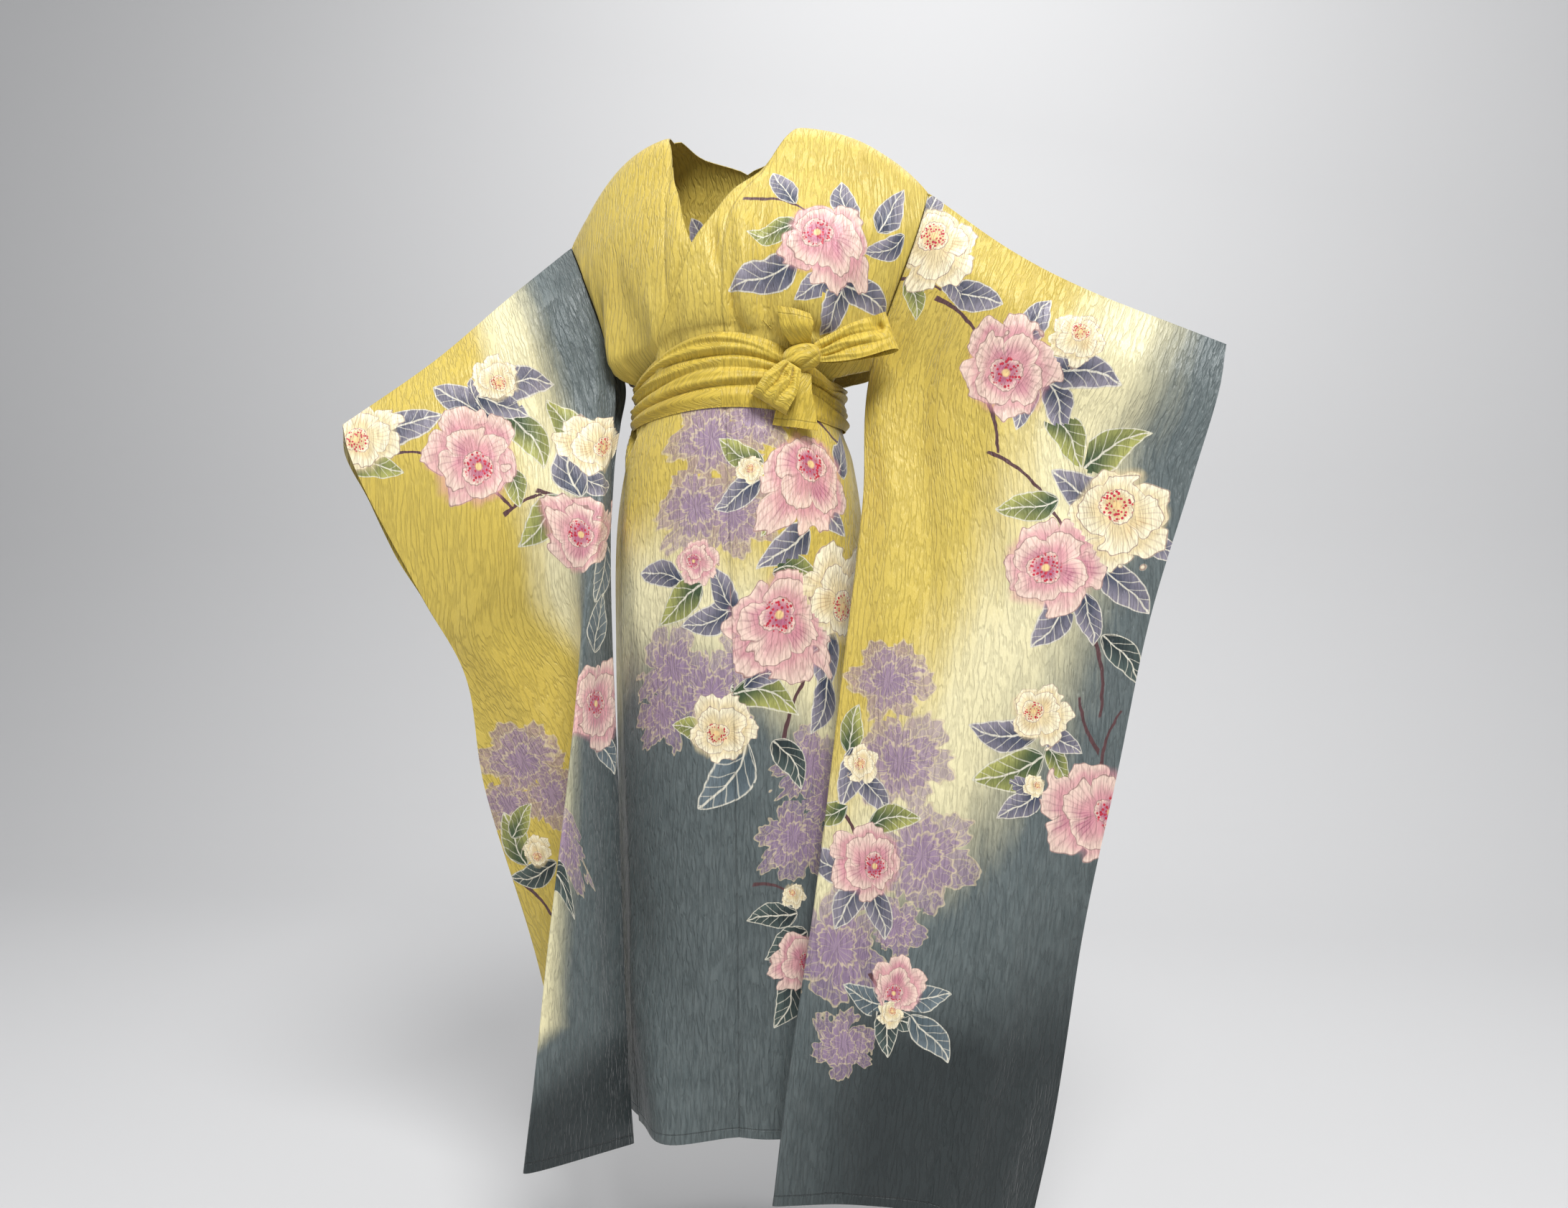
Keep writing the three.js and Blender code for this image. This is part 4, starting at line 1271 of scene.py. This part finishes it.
# radius, petals, phase, shift right, shift up
PETAL_RINGS = [
    (1.00, 5, 0.0, 0.00, 0.00),
    (0.76, 4, 1.0, 0.03, -0.05),
    (0.36, 3, 2.1, 0.04, -0.06),
]
# a petal's edge in half sizes: its notches, how far it swells between them, its waver and
# its ruffles
PETAL_EDGE = {"notch": 0.70, "swell": 0.30, "waver": 0.44,
              "ruffle": 0.02, "ruffles": 19, "stray": 16}
# half sizes: how soft an edge is, and how far inside a petal its outline is full and ends
SOFT_EDGE = 0.02
PETAL_LINE = (0.016, 0.040)
LOBE_ROUNDNESS = 0.6
# how far a flower's rings lean to one side, and the middle's place before that
LEAN = 0.15
MIDDLE = (0.04, -0.05)
DOTS = 15.0


def polar(x, y):
    return (x * x + y * y) ** 0.5, Value.sum("ARCTAN2", y, x)


def lobes(turn, petals, start):
    """0 in the notch between two petals and 1 at the middle of each, all the way round."""
    return absolute(wave(turn * (petals / 2) + start)) ** LOBE_ROUNDNESS


def depth_inside(lobe, turn, wobble, reach, radius, edge):
    """How far inside a ring's edge a point lies, in half sizes."""
    ruffle = wave(turn * edge["ruffles"] + wobble * edge["stray"]) * edge["ruffle"]
    return (lobe * edge["swell"] + edge["notch"] + wobble * edge["waver"] + ruffle) * radius - reach


def draw_petals(colour, tones, ring, reach, turn, wobble, kind):
    """One ring of petals over what is drawn already."""
    radius, petals, phase, _, _ = PETAL_RINGS[ring]
    lobe = lobes(turn, petals, wobble * 2.6 + phase + kind * 31)
    depth = depth_inside(lobe, turn, wobble, reach, radius, PETAL_EDGE)
    inside = rising(depth, 0, SOFT_EDGE)
    if ring:
        colour = over(rising(depth, -0.20, 0.0) * 0.55, colour, tones["deep"])
    line = inside * rising(depth, PETAL_LINE[1], PETAL_LINE[0])
    notch = inside * rising(lobe * reach, 0.12 * radius, 0.04 * radius)
    vein = rising(wave(turn * 34 + wobble * 9), 0.50, 0.98)
    rooted = rising(depth, 0.02, radius * 0.55)
    streaked = rooted * rising(wave(turn * (petals * 0.5) + phase + kind * 17), 0.0, 0.9)
    petal = over(rooted * 0.85, tones["pale"], tones["deep"])
    petal = over(streaked * (vein * 0.4 + 0.35), petal, tones["root"])
    petal = over(vein * inside * 0.22, petal, OUTLINE)
    petal = over(larger(notch * 0.55, line * 0.85), petal, OUTLINE)
    return over(inside, colour, petal)


def draw_flower(ground):
    place, x, y, kind = stored("flower")
    wobble = clouds(place, 2.2, 1.0) - 0.5
    white = rising(kind, 0.98, 1.0)
    tones = {part: over(white, PINK[part], WHITE[part]) for part in PINK}
    lean_right = wave(kind * 41) * LEAN
    lean_up = wave(kind * 67 + 1) * LEAN
    colour = ground
    for ring, (_, _, _, right, up) in enumerate(PETAL_RINGS):
        reach, turn = polar(x - right - lean_right * ring, y - up - lean_up * ring)
        colour = draw_petals(colour, tones, ring, reach, turn, wobble, kind)
    last = len(PETAL_RINGS) - 1
    reach, turn = polar(x - MIDDLE[0] - lean_right * last, y - MIDDLE[1] - lean_up * last)
    colour = over(rising(reach, 0.34, 0.14) * 0.55, colour, tones["root"])
    colour = over(rising(reach, 0.10, 0.05), colour, HEART)
    dots = Value.node("TexVoronoi", {"feature": "F1"}, {"Vector": place, "Scale": DOTS})
    dotted = rising(dots, 0.44, 0.34) * rising(reach, 0.33, 0.27) * rising(reach, 0.06, 0.10)
    return over(dotted, colour, STAMEN)


print("petal rings:", len(PETAL_RINGS))

# %% [markdown]
# ## Leaves, stems and the pale sprays behind
# A leaf is a lens shape on its own long axis: a light outline, a midrib, and side veins that lean
# to the tip. Its kind chooses blue, green, dark or outline alone. A stem is the same idea made
# very narrow and bowed. The mauve sprays behind the flowers are large lobed shapes filled with a
# fine net of light cells, like the drawing of an old stencil.

# %% Leaves and stems
# for each kind, the light and the dark tone
LEAF_TONES = [
    (silk_tone(142, 136, 148), silk_tone(58, 65, 84)),
    (silk_tone(172, 172, 96), silk_tone(58, 78, 50)),
    (silk_tone(78, 92, 88), silk_tone(32, 44, 46)),
    (silk_tone(108, 120, 126), silk_tone(74, 88, 94)),
]
LEAF_LINE = silk_tone(226, 220, 202)
STEM_TONE = silk_tone(88, 58, 60)
LEAF_BREADTH = 0.50
# half lengths: how far inside the edge the outline is full and ends, and the same for the midrib
LEAF_LINE_PLACE = (0.035, 0.075)
LEAF_RIB_PLACE = (0.012, 0.035)


def draw_leaf(ground, layer):
    place, x, y, kind = stored(layer)
    wobble = clouds(place, 2.2, 1.0) - 0.5
    bow = y - (1 - x * x) * 0.12 + wave(x * 3.4 + kind * 20) * 0.05 + wobble * 0.16
    taper = larger(1 - x * x, 0) ** 0.8
    half = taper * (1 - x * 0.28) * LEAF_BREADTH + wobble * 0.06
    aside = absolute(bow)
    depth = half - aside
    inside = rising(depth, 0, 0.03) * rising(absolute(x), 1.0, 0.97)
    line = inside * rising(depth, LEAF_LINE_PLACE[1], LEAF_LINE_PLACE[0])
    rib = inside * rising(aside, LEAF_RIB_PLACE[1], LEAF_RIB_PLACE[0])
    vein = rising(wave((x - aside * 1.5 + aside * aside) * 17), 0.90, 0.985) * inside
    light, dark = LEAF_TONES[0]
    for step, (other_light, other_dark) in enumerate(LEAF_TONES[1:], 1):
        chosen = rising(kind, step - 0.02, step)
        light = over(chosen, light, other_light)
        dark = over(chosen, dark, other_dark)
    fill = over(rising(x * 0.8 + aside * 1.6, -0.5, 1.0), dark, light)
    fill = over(rising(bow, -0.05, 0.05) * 0.35, fill, dark)
    leaf = over(vein * 0.55, fill, LEAF_LINE)
    leaf = over(larger(line, rib) * 0.85, leaf, LEAF_LINE)
    return over(inside, ground, leaf)


def draw_stem(ground):
    place, x, y, thickness = stored("stem")
    bow = y - (1 - x * x) * 0.14 + (clouds(place, 3.0, 1.0) - 0.5) * 0.12
    half = thickness * (1.15 - x * 0.35)
    inside = rising(half - absolute(bow), 0, 0.015) * rising(absolute(x), 1.06, 1.0)
    return over(inside, ground, STEM_TONE)


print("leaf kinds:", len(LEAF_TONES))

# %% The mauve sprays
HAZE_TONE = silk_tone(146, 122, 148)
HAZE_LINE = silk_tone(214, 198, 160)
# radius, petals, phase
HAZE_RINGS = [(1.0, 6, 0.3), (0.72, 5, 1.4), (0.42, 4, 0.2)]
HAZE_EDGE = {"notch": 0.58, "swell": 0.36, "waver": 0.70,
             "ruffle": 0.045, "ruffles": 23, "stray": 15}
NET_CELLS = 7.5


def draw_haze(ground):
    place, x, y, kind = stored("haze")
    wobble = clouds(place, 2.0, 2.0) - 0.5
    reach, turn = polar(x, y)
    net = Value.node("TexVoronoi", {"feature": "DISTANCE_TO_EDGE"},
                     {"Vector": place, "Scale": NET_CELLS})
    threads = rising(net, 0.05, 0.02)
    colour = ground
    for radius, petals, phase in HAZE_RINGS:
        lobe = lobes(turn, petals, wobble * 3.2 + phase + kind * 23)
        depth = depth_inside(lobe, turn, wobble, reach, radius, HAZE_EDGE)
        inside = rising(depth, 0, SOFT_EDGE)
        line = inside * rising(depth, 0.075, 0.035)
        rays = rising(absolute(wave(turn * (petals * 1.5) + wobble * 7.0)), 0.26, 0.08)
        cells = threads * rising(reach, 0.45 * radius, 0.75 * radius)
        drawn = larger(larger(cells, rays) * 0.6, line)
        petal = over(drawn * 0.9, HAZE_TONE, HAZE_LINE)
        colour = over(inside * 0.68, colour, petal)
    return colour


print("rings of a mauve spray:", len(HAZE_RINGS))

# %% [markdown]
# ## Satin crepe
# Crepe silk has a fine crinkle that runs down the cloth: long low swells with thin furrows between
# them. Noise that is stretched down the cloth gives the swells, and the furrows are the places
# where it crosses its middle value. They bend the light through a Bump node, and the colour is
# darkened a little in them as painted shade. All of it is measured in metres on the cloth's own
# map, so its size is the same everywhere.

# %% What both silks share
# metres from the hem's edge to its stitches, the stitches' breadth, and the breadth of the seams'
# dark line and of the painted shade along the lap's free edge
HEM_LINE = 0.011
EDGE_LINE = 0.0012
SEAM_LINE = 0.0018
# what is the same all over a silk, and how strong and deep its relief is
GLOSS = {
    "dyed_silk": {"Sheen Weight": 0.18, "Sheen Roughness": 0.4, "Specular IOR Level": 0.42},
    "sash_silk": {"Sheen Weight": 0.2, "Sheen Roughness": 0.4, "Specular IOR Level": 0.4},
}
RELIEF = {
    "dyed_silk": {"Strength": 0.75, "Distance": 0.0010},
    "sash_silk": {"Strength": 0.5, "Distance": 0.0012},
}
# how many swells and grains there are in a metre, across and down
SWELLS = (150, 27, 1)
GRAIN = (620, 150, 1)


def crepe(cloth_map):
    """The crinkle: 0 in the thin furrows between long swells, and the swells' fine grain."""
    swells = clouds(cloth_map, 1.0, 2.0, SWELLS)
    coarse = rising(absolute(swells - 0.5), 0.0, 0.085)
    fine = rising(clouds(cloth_map, 1.0, 2.0, GRAIN), 0.30, 0.70)
    return coarse, fine


def stitches(from_hem):
    """A thin line of stitches along the hem, this far from its edge."""
    return rising(absolute(stored_number("hem") - from_hem), EDGE_LINE, EDGE_LINE * 0.3)


def new_silk(name):
    silk = bpy.data.materials.new(name)
    silk.use_nodes = True
    Value.tree = silk.node_tree
    return silk, Value.node("UVMap", {"uv_map": "cloth"})


def finish_silk(silk, name, colour, rough, height):
    """Links what varies over the cloth, and sets the rest on the shader itself."""
    shader = silk.node_tree.nodes["Principled BSDF"]
    bump = Value.node("Bump", None, {**RELIEF[name], "Height": height})
    for socket, value in (("Base Color", colour), ("Roughness", rough), ("Normal", bump)):
        Value.tree.links.new(value.socket, shader.inputs[socket])
    for socket, amount in GLOSS[name].items():
        shader.inputs[socket].default_value = amount
    print(name, "has", len(silk.node_tree.nodes), "nodes")
    return silk


print("silks:", len(GLOSS))

# %% The printed silk
YELLOW = silk_tone(209, 188, 92)
YELLOW_SHADE = silk_tone(190, 164, 68)
CREAM = silk_tone(226, 217, 174)
SLATE = silk_tone(104, 113, 113)
SLATE_SHADE = silk_tone(80, 90, 91)
# painted shade: the dark slate that a number above 1 darkens the lower cloth to
SLATE_PAINTED_SHADE = silk_tone(42, 49, 50)
# how far the broad brush and the thin streaks push the change of dye about
BRUSH = 0.26
STREAK = 0.12


def dyed_and_shaded_ground(cloth_map):
    brush = clouds(cloth_map, 1.0, 4.0, (34, 5, 1)) - 0.5
    streak = clouds(cloth_map, 1.0, 3.0, (300, 34, 1)) - 0.5
    dye_and_shade = stored_number("dye_and_shade") + brush * BRUSH + streak * STREAK
    broad = clouds(cloth_map, 1.0, 2.0, (9, 4, 1))
    yellow = over(broad, YELLOW, YELLOW_SHADE)
    slate = over(rising(streak, -0.30, 0.30), SLATE, SLATE_SHADE)
    ground = over(rising(dye_and_shade, 0.0, 0.48), yellow, CREAM)
    ground = over(rising(dye_and_shade, 0.52, 1.0), ground, slate)
    # above 1 the number is painted shade, which darkens the slate towards the bottom
    return over(rising(dye_and_shade, 1.0, 2.1), ground, SLATE_PAINTED_SHADE)


def printed_silk(name):
    silk, cloth_map = new_silk(name)
    coarse, fine = crepe(cloth_map)
    colour = draw_stem(draw_haze(dyed_and_shaded_ground(cloth_map)))
    colour = draw_leaf(draw_leaf(colour, "leaf"), "other leaf")
    # painted shade in the crepe's furrows, where coarse is 0, and the fine grain's own tone
    colour = shaded(draw_flower(colour), 0.85 + coarse * 0.14 + fine * 0.06)
    stitch = stitches(HEM_LINE)
    # darker along the seams, and painted shade in a thin line along the lap's free edge
    seam_and_edge_shade = rising(stored_number("sewn"), SEAM_LINE, SEAM_LINE * 0.4)
    colour = shaded(colour, 1 - stitch * 0.22 - seam_and_edge_shade * 0.30)
    rough = 0.52 - coarse * 0.14 + fine * 0.06
    return finish_silk(silk, name, colour, rough, coarse + fine * 0.35 - stitch * 1.6)


DYED_SILK = printed_silk("dyed_silk")

# %% The sash's plain silk
SASH_YELLOW = silk_tone(204, 180, 72)
SASH_SHADE = silk_tone(176, 148, 48)


def plain_silk(name):
    silk, cloth_map = new_silk(name)
    coarse, fine = crepe(cloth_map)
    broad = clouds(cloth_map, 1.0, 2.0, (14, 14, 1))
    colour = over(broad, SASH_YELLOW, SASH_SHADE)
    # painted shade in the crepe's furrows, where coarse is 0, and the fine grain's own tone
    colour = shaded(colour, 0.84 + coarse * 0.24 + fine * 0.10)
    stitch = stitches(HEM_LINE * 0.8)
    colour = shaded(colour, 1 - stitch * 0.25)
    rough = 0.42 + coarse * 0.16
    return finish_silk(silk, name, colour, rough, coarse * 1.1 + fine * 0.5 - stitch * 1.2)


SASH_SILK = plain_silk("sash_silk")

# %% [markdown]
# ## The sash
# The sash is one long soft band. Round the waist it lies in lengthwise folds that run a little up
# and down and draw together at the knot. It is made like the panels, from a flat grid rolled into
# a loop, whose first and last columns are then merged. The folds are sums of narrow ridges, each
# with its own height, slant and waver. A real band is wound from flat cloth, which would be slow
# to simulate, and the ridges give the same look and stay in place.

# %% The band round the waist
# the levels of its two edges, and how far it stands out from the body in mm
SASH = {"top": 1.06, "bottom": 1.2, "proud": 7.5}
# columns round and rows down
BAND_GRID = (300, 60)
MERGE_DISTANCE = 0.00005
# share down the band, depth in mm, breadth, waver, phase in degrees
BAND_FOLDS = [
    (0.07, 3.4, 0.040, 0.030, 20),
    (0.18, 4.6, 0.045, 0.045, 75),
    (0.27, -3.6, 0.024, 0.050, 75),
    (0.37, 4.2, 0.042, 0.060, 130),
    (0.49, -3.8, 0.026, 0.055, 160),
    (0.58, 4.0, 0.040, 0.050, 200),
    (0.68, 4.4, 0.040, 0.035, 250),
    (0.78, -3.6, 0.024, 0.040, 300),
    (0.88, 3.6, 0.050, 0.020, 330),
]
KNOT_ANGLE = 47
# near the knot the folds draw together: how far round in degrees, where to, and how closely
KNOT_PULL = {"round": 26, "level": 0.46, "closely": 0.42}
# at the edges the band turns in: how far in mm, over what share of it, and how much it goes
# up and down
BAND_EDGE = {"in": 3.0, "share": 0.05, "waver": 1.6}
# the same as BODY_DEEPWAYS, for the waist
WAIST_DEEPWAYS = 1.2


def radial(points):
    return points * np.array([1, WAIST_DEEPWAYS, 0])


def band_place(across, down):
    angle = across * 360
    station = mix(SASH["top"], SASH["bottom"], down)
    points = body_point(angle.ravel(), station.ravel(), 0).reshape(*across.shape, 3)
    near_knot = np.exp(-((turned_apart(angle, KNOT_ANGLE) / KNOT_PULL["round"]) ** 2))
    proud = np.full(across.shape, SASH["proud"])
    for centre, depth, breadth, waver, phase in BAND_FOLDS:
        waves = sine(2 * angle + phase) + 0.4 * sine(5 * angle + 2 * phase)
        middle = centre + waver * waves
        drawn = KNOT_PULL["level"] + (middle - 0.5) * KNOT_PULL["closely"]
        middle = mix(middle, drawn, near_knot)
        strength = 0.75 + 0.35 * sine(3 * angle + phase * 1.7)
        proud = proud + depth * strength * np.exp(-(((down - middle) / breadth) ** 2))
    edge = np.minimum(down, 1 - down)
    proud = proud - BAND_EDGE["in"] * np.exp(-((edge / BAND_EDGE["share"]) ** 2))
    outward = radial(points)
    outward /= np.linalg.norm(outward, axis=-1, keepdims=True)
    points = points + outward * proud[..., None]
    points[..., 2] += BAND_EDGE["waver"] * sine(3 * angle + 40) * (1 - 2 * edge)
    return points, None, None


def close_loop(piece):
    """Merges the first and last columns of a sheet that runs round a loop."""
    select_nothing()
    piece.select_set(True)
    bpy.context.view_layer.objects.active = piece
    bpy.ops.object.mode_set(mode="EDIT")
    bpy.ops.mesh.select_all(action="SELECT")
    bpy.ops.mesh.remove_doubles(threshold=MERGE_DISTANCE)
    bpy.ops.object.mode_set(mode="OBJECT")


band = cloth_sheet("sash_band", *BAND_GRID, band_place, radial, hemmed=False)
close_loop(band)
print("band, m across:", round(float(sheets["sash_band"]["down"].max()), 3))

# %% [markdown]
# ## The bow
# The ends of the band cross in a knot at the front left. One end makes a long flat loop to the
# side, one a short puffed loop below, and two hemmed ends stand up and hang down. Each loop is a
# band that leaves the knot and comes back to it, with lengthwise folds that die out at the far
# end.

# %% Loops
LOOP_GRID = (110, 44)
LOOP_WAVER = 0.05
# share across the band, depth in mm, breadth, phase in radians
LOOP_FOLDS = [
    (0.14, 3.0, 0.07, 0.3),
    (0.32, -3.4, 0.045, 1.4),
    (0.48, 3.4, 0.07, 2.3),
    (0.66, -3.6, 0.045, 0.9),
    (0.84, 2.6, 0.07, 2.9),
]
# away: the side that the loop's upper layer lies to. gape and breadth: mm at the knot and at
# the far end. droop: mm. dent: where the cloth is pushed in, as shares out and down, both
# breadths, depth in mm
BOW = {"away": (-0.25, -1, 0), "gape": (4, 12), "breadth": (22, 50), "droop": 2,
       "dent": (0.86, 0.30, 0.07, 0.20, 12)}
PUFF = {"away": (0.3, -1, 0.1), "gape": (4, 15), "breadth": (20, 50), "droop": 0,
        "dent": (0.30, 0.5, 0.12, 0.10, 6)}


def loop_place(root, end, sizes):
    start, reach = np.array(root, float), np.array(end, float) - np.array(root, float)
    away = np.array(sizes["away"], float)
    away /= np.linalg.norm(away)
    breadthways = np.cross(reach, away)
    breadthways /= np.linalg.norm(breadthways)

    def place(across, down):
        turn = across * 2 * np.pi
        out = (1 - np.cos(turn)) / 2
        gape = mix(*sizes["gape"], out) * np.sin(turn)
        side = np.sign(np.sin(turn) + ALMOST_NOTHING)
        ripple = np.zeros_like(across)
        for centre, depth, breadth, phase in LOOP_FOLDS:
            middle = centre + LOOP_WAVER * np.sin(2.5 * out * np.pi + phase)
            ripple += depth * np.exp(-(((down - middle) / breadth) ** 2))
        gape = gape + side * ripple * (1 - out**4) * fade(0, 0.12, out)
        dent_out, dent_down, long, wide, depth = sizes["dent"]
        dent = np.exp(-(((out - dent_out) / long) ** 2) - ((down - dent_down) / wide) ** 2)
        gape = gape - depth * dent * (side > 0)
        breadth = mix(*sizes["breadth"], np.sqrt(out)) * (1 - 0.04 * np.sin(3 * turn))
        points = start + reach * out[..., None] + away * gape[..., None]
        points = points + breadthways * ((down - 0.5) * breadth)[..., None]
        points[..., 2] -= sizes["droop"] * np.sin(out * np.pi)
        return points, None, None

    def outward(points):
        return np.broadcast_to(away, points.shape)

    return place, outward


def bow_loop(name, root, end, sizes):
    place, outward = loop_place(root, end, sizes)
    close_loop(cloth_sheet(name, *LOOP_GRID, place, outward, hemmed=False))


bow_loop("sash_long_loop", (115.6, -113.5, -316), (205, -93, -287), BOW)
bow_loop("sash_short_loop", (88, -127, -332), (60, -134, -380), PUFF)
print("bow loops: 2")

# %% Knot
KNOT = {"centre": (97, -111.6, -321), "radii": (23, 13.5, 15.5), "tilt": 14, "grid": (72, 44)}
# turn round the knot in radians, depth, breadth, slant
KNOT_FOLDS = [
    (-2.4, 0.09, 0.26, 0.5),
    (-1.55, -0.14, 0.15, 0.35),
    (-1.0, 0.12, 0.24, 0.2),
    (-0.35, -0.16, 0.14, -0.3),
    (0.15, 0.12, 0.26, -0.2),
    (0.8, -0.13, 0.15, -0.5),
    (1.5, 0.10, 0.30, 0.2),
    (2.5, -0.08, 0.20, 0.3),
]


def knot_place(across, down):
    """A wrapped band: a cushion that lies on its side, with folds from one end to the other."""
    turn = across * 2 * np.pi
    along = -np.cos(down * np.pi)
    girth = np.sin(down * np.pi) ** 0.6
    swell = np.ones_like(turn)
    for centre, depth, breadth, slant in KNOT_FOLDS:
        apart = np.angle(np.exp(1j * (turn - np.pi - centre - slant * along)))
        swell += depth * np.exp(-((apart / breadth) ** 2)) * girth
    spot = np.stack([along, np.cos(turn) * girth * swell, np.sin(turn) * girth * swell], -1)
    spot = spot * np.array(KNOT["radii"])
    rise, run = sine(KNOT["tilt"]), cosine(KNOT["tilt"])
    turned = np.stack([
        spot[..., 0] * run - spot[..., 2] * rise,
        spot[..., 1],
        spot[..., 0] * rise + spot[..., 2] * run,
    ], -1)
    return turned + np.array(KNOT["centre"]), None, None


def from_knot(points):
    return points - np.array(KNOT["centre"])


close_loop(cloth_sheet("sash_knot_cloth", *KNOT["grid"], knot_place, from_knot, hemmed=False))
print("knot folds:", len(KNOT_FOLDS))

# %% The two hemmed ends
TAIL_COLUMNS = ["along", "x", "y", "z", "halfX", "halfY", "halfZ", "cup"]
TAIL_UP = table(TAIL_COLUMNS, [
    [0.0, 96, -112.5, -304.6, 11, 3, 1, 3],
    [0.4, 93, -125, -290, 18, 4, 1, 7],
    [0.7, 92, -127, -278, 20, 5, -2, 8],
    [1.0, 89, -127, -266, 19, 6, -4, 6],
])
TAIL_DOWN = table(TAIL_COLUMNS, [
    [0.0, 95, -110, -339.2, 13, 3, -1, 4],
    [0.35, 91, -112.5, -360, 18, 4, -2, 4],
    [0.7, 90, -112, -383, 23, 6, -2, 3],
    [1.0, 89, -112, -406, 27, 7, -3, 3],
])
# waves across, depth in mm, phase
TAIL_RIPPLES = [(3.1, 1.3, 0.4), (6.7, 0.7, 1.9)]
TAIL_GRID = (26, 40)


def tail_sheet(name, rows):
    def place(across, down):
        def at(column):
            return read(rows, column, down)

        side = 2 * across - 1
        centre = np.stack([at("x"), at("y"), at("z")], -1)
        half = np.stack([at("halfX"), at("halfY"), at("halfZ")], -1)
        ripple = sum(size * np.sin(count * side + phase) for count, size, phase in TAIL_RIPPLES)
        cup = at("cup") * (1 - side * side) + ripple * fade(0, 0.4, down) * (1 - side**4)
        points = centre + half * side[..., None]
        points[..., 1] -= cup
        return points, None, None

    def forwards(points):
        return np.broadcast_to([0, -1, 0], points.shape)

    cloth_sheet(name, *TAIL_GRID, place, forwards)


tail_sheet("sash_end_up", TAIL_UP)
tail_sheet("sash_end_down", TAIL_DOWN)
print("sheets in all:", len(sheets))

# %% [markdown]
# ## From sheets to silk
# Each sheet gets its small thickness, its material and its place in the frame. It then stands for
# its CAD node, which is no longer shown.

# %% Thickness, material and place in the frame
# degrees: a sharper bend than this is drawn as a crease
CREASE_ANGLE = 60
# node, flat width and length in m, how it is held, what it hangs from or lies on
PIECES = {
    "silk_front_left": ("front_left", (0.27, 1.32), "hung", []),
    "silk_overlap_left": ("overlap_left", (0.16, 1.18), "hung", ["front_left"]),
    "silk_front_right": ("front_right", (0.24, 1.32), "hung", []),
    "silk_overlap_right": ("overlap_right", (0.15, 1.18), "hung", ["front_right"]),
    "silk_back_left": ("back_left", (0.26, 1.32), "hung", []),
    "silk_back_right": ("back_right", (0.26, 1.32), "hung", []),
    "silk_left_sleeve_front": ("sleeve_left_front", (0.36, 1.16), "hung", ["front_left"]),
    "silk_left_sleeve_back": ("sleeve_left_back", (0.36, 1.16), "hung", ["back_left"]),
    "silk_right_sleeve_front": ("sleeve_right_front", (0.33, 1.16), "hung", ["front_right"]),
    "silk_right_sleeve_back": ("sleeve_right_back", (0.33, 1.16), "hung", ["back_right"]),
    "sash_band": ("sash_wrap", (0.10, 0.90), "gathered", ["front_left", "front_right"]),
    "sash_long_loop": ("sash_bow", (0.045, 0.21), "folded", ["sash_knot"]),
    "sash_short_loop": ("sash_puff", (0.045, 0.11), "folded", ["sash_knot"]),
    "sash_knot_cloth": ("sash_knot", (0.04, 0.09), "folded", ["sash_wrap"]),
    "sash_end_up": ("sash_tail_up", (0.035, 0.045), "hung", ["sash_knot"]),
    "sash_end_down": ("sash_tail_down", (0.045, 0.07), "hung", ["sash_knot"]),
}


def area_of(mesh):
    return sum(polygon.area for polygon in mesh.polygons)


for name, (node, flat, held, rests_on) in PIECES.items():
    piece = bpy.data.objects[name]
    select_nothing()
    piece.select_set(True)
    bpy.context.view_layer.objects.active = piece
    cloth_area = area_of(piece.data)
    shell = piece.modifiers.new("thickness", "SOLIDIFY")
    shell.thickness = CLOTH_THICKNESS
    shell.offset = 0
    bpy.ops.object.modifier_apply(modifier="thickness")
    bpy.ops.object.shade_smooth_by_angle(angle=math.radians(CREASE_ANGLE))
    sash = node.startswith("sash")
    piece.data.materials.clear()
    piece.data.materials.append(SASH_SILK if sash else DYED_SILK)
    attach(piece, "root")
    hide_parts(node)
    print(name, "area", round(cloth_area, 4), "flat", round(flat[0] * flat[1], 4))
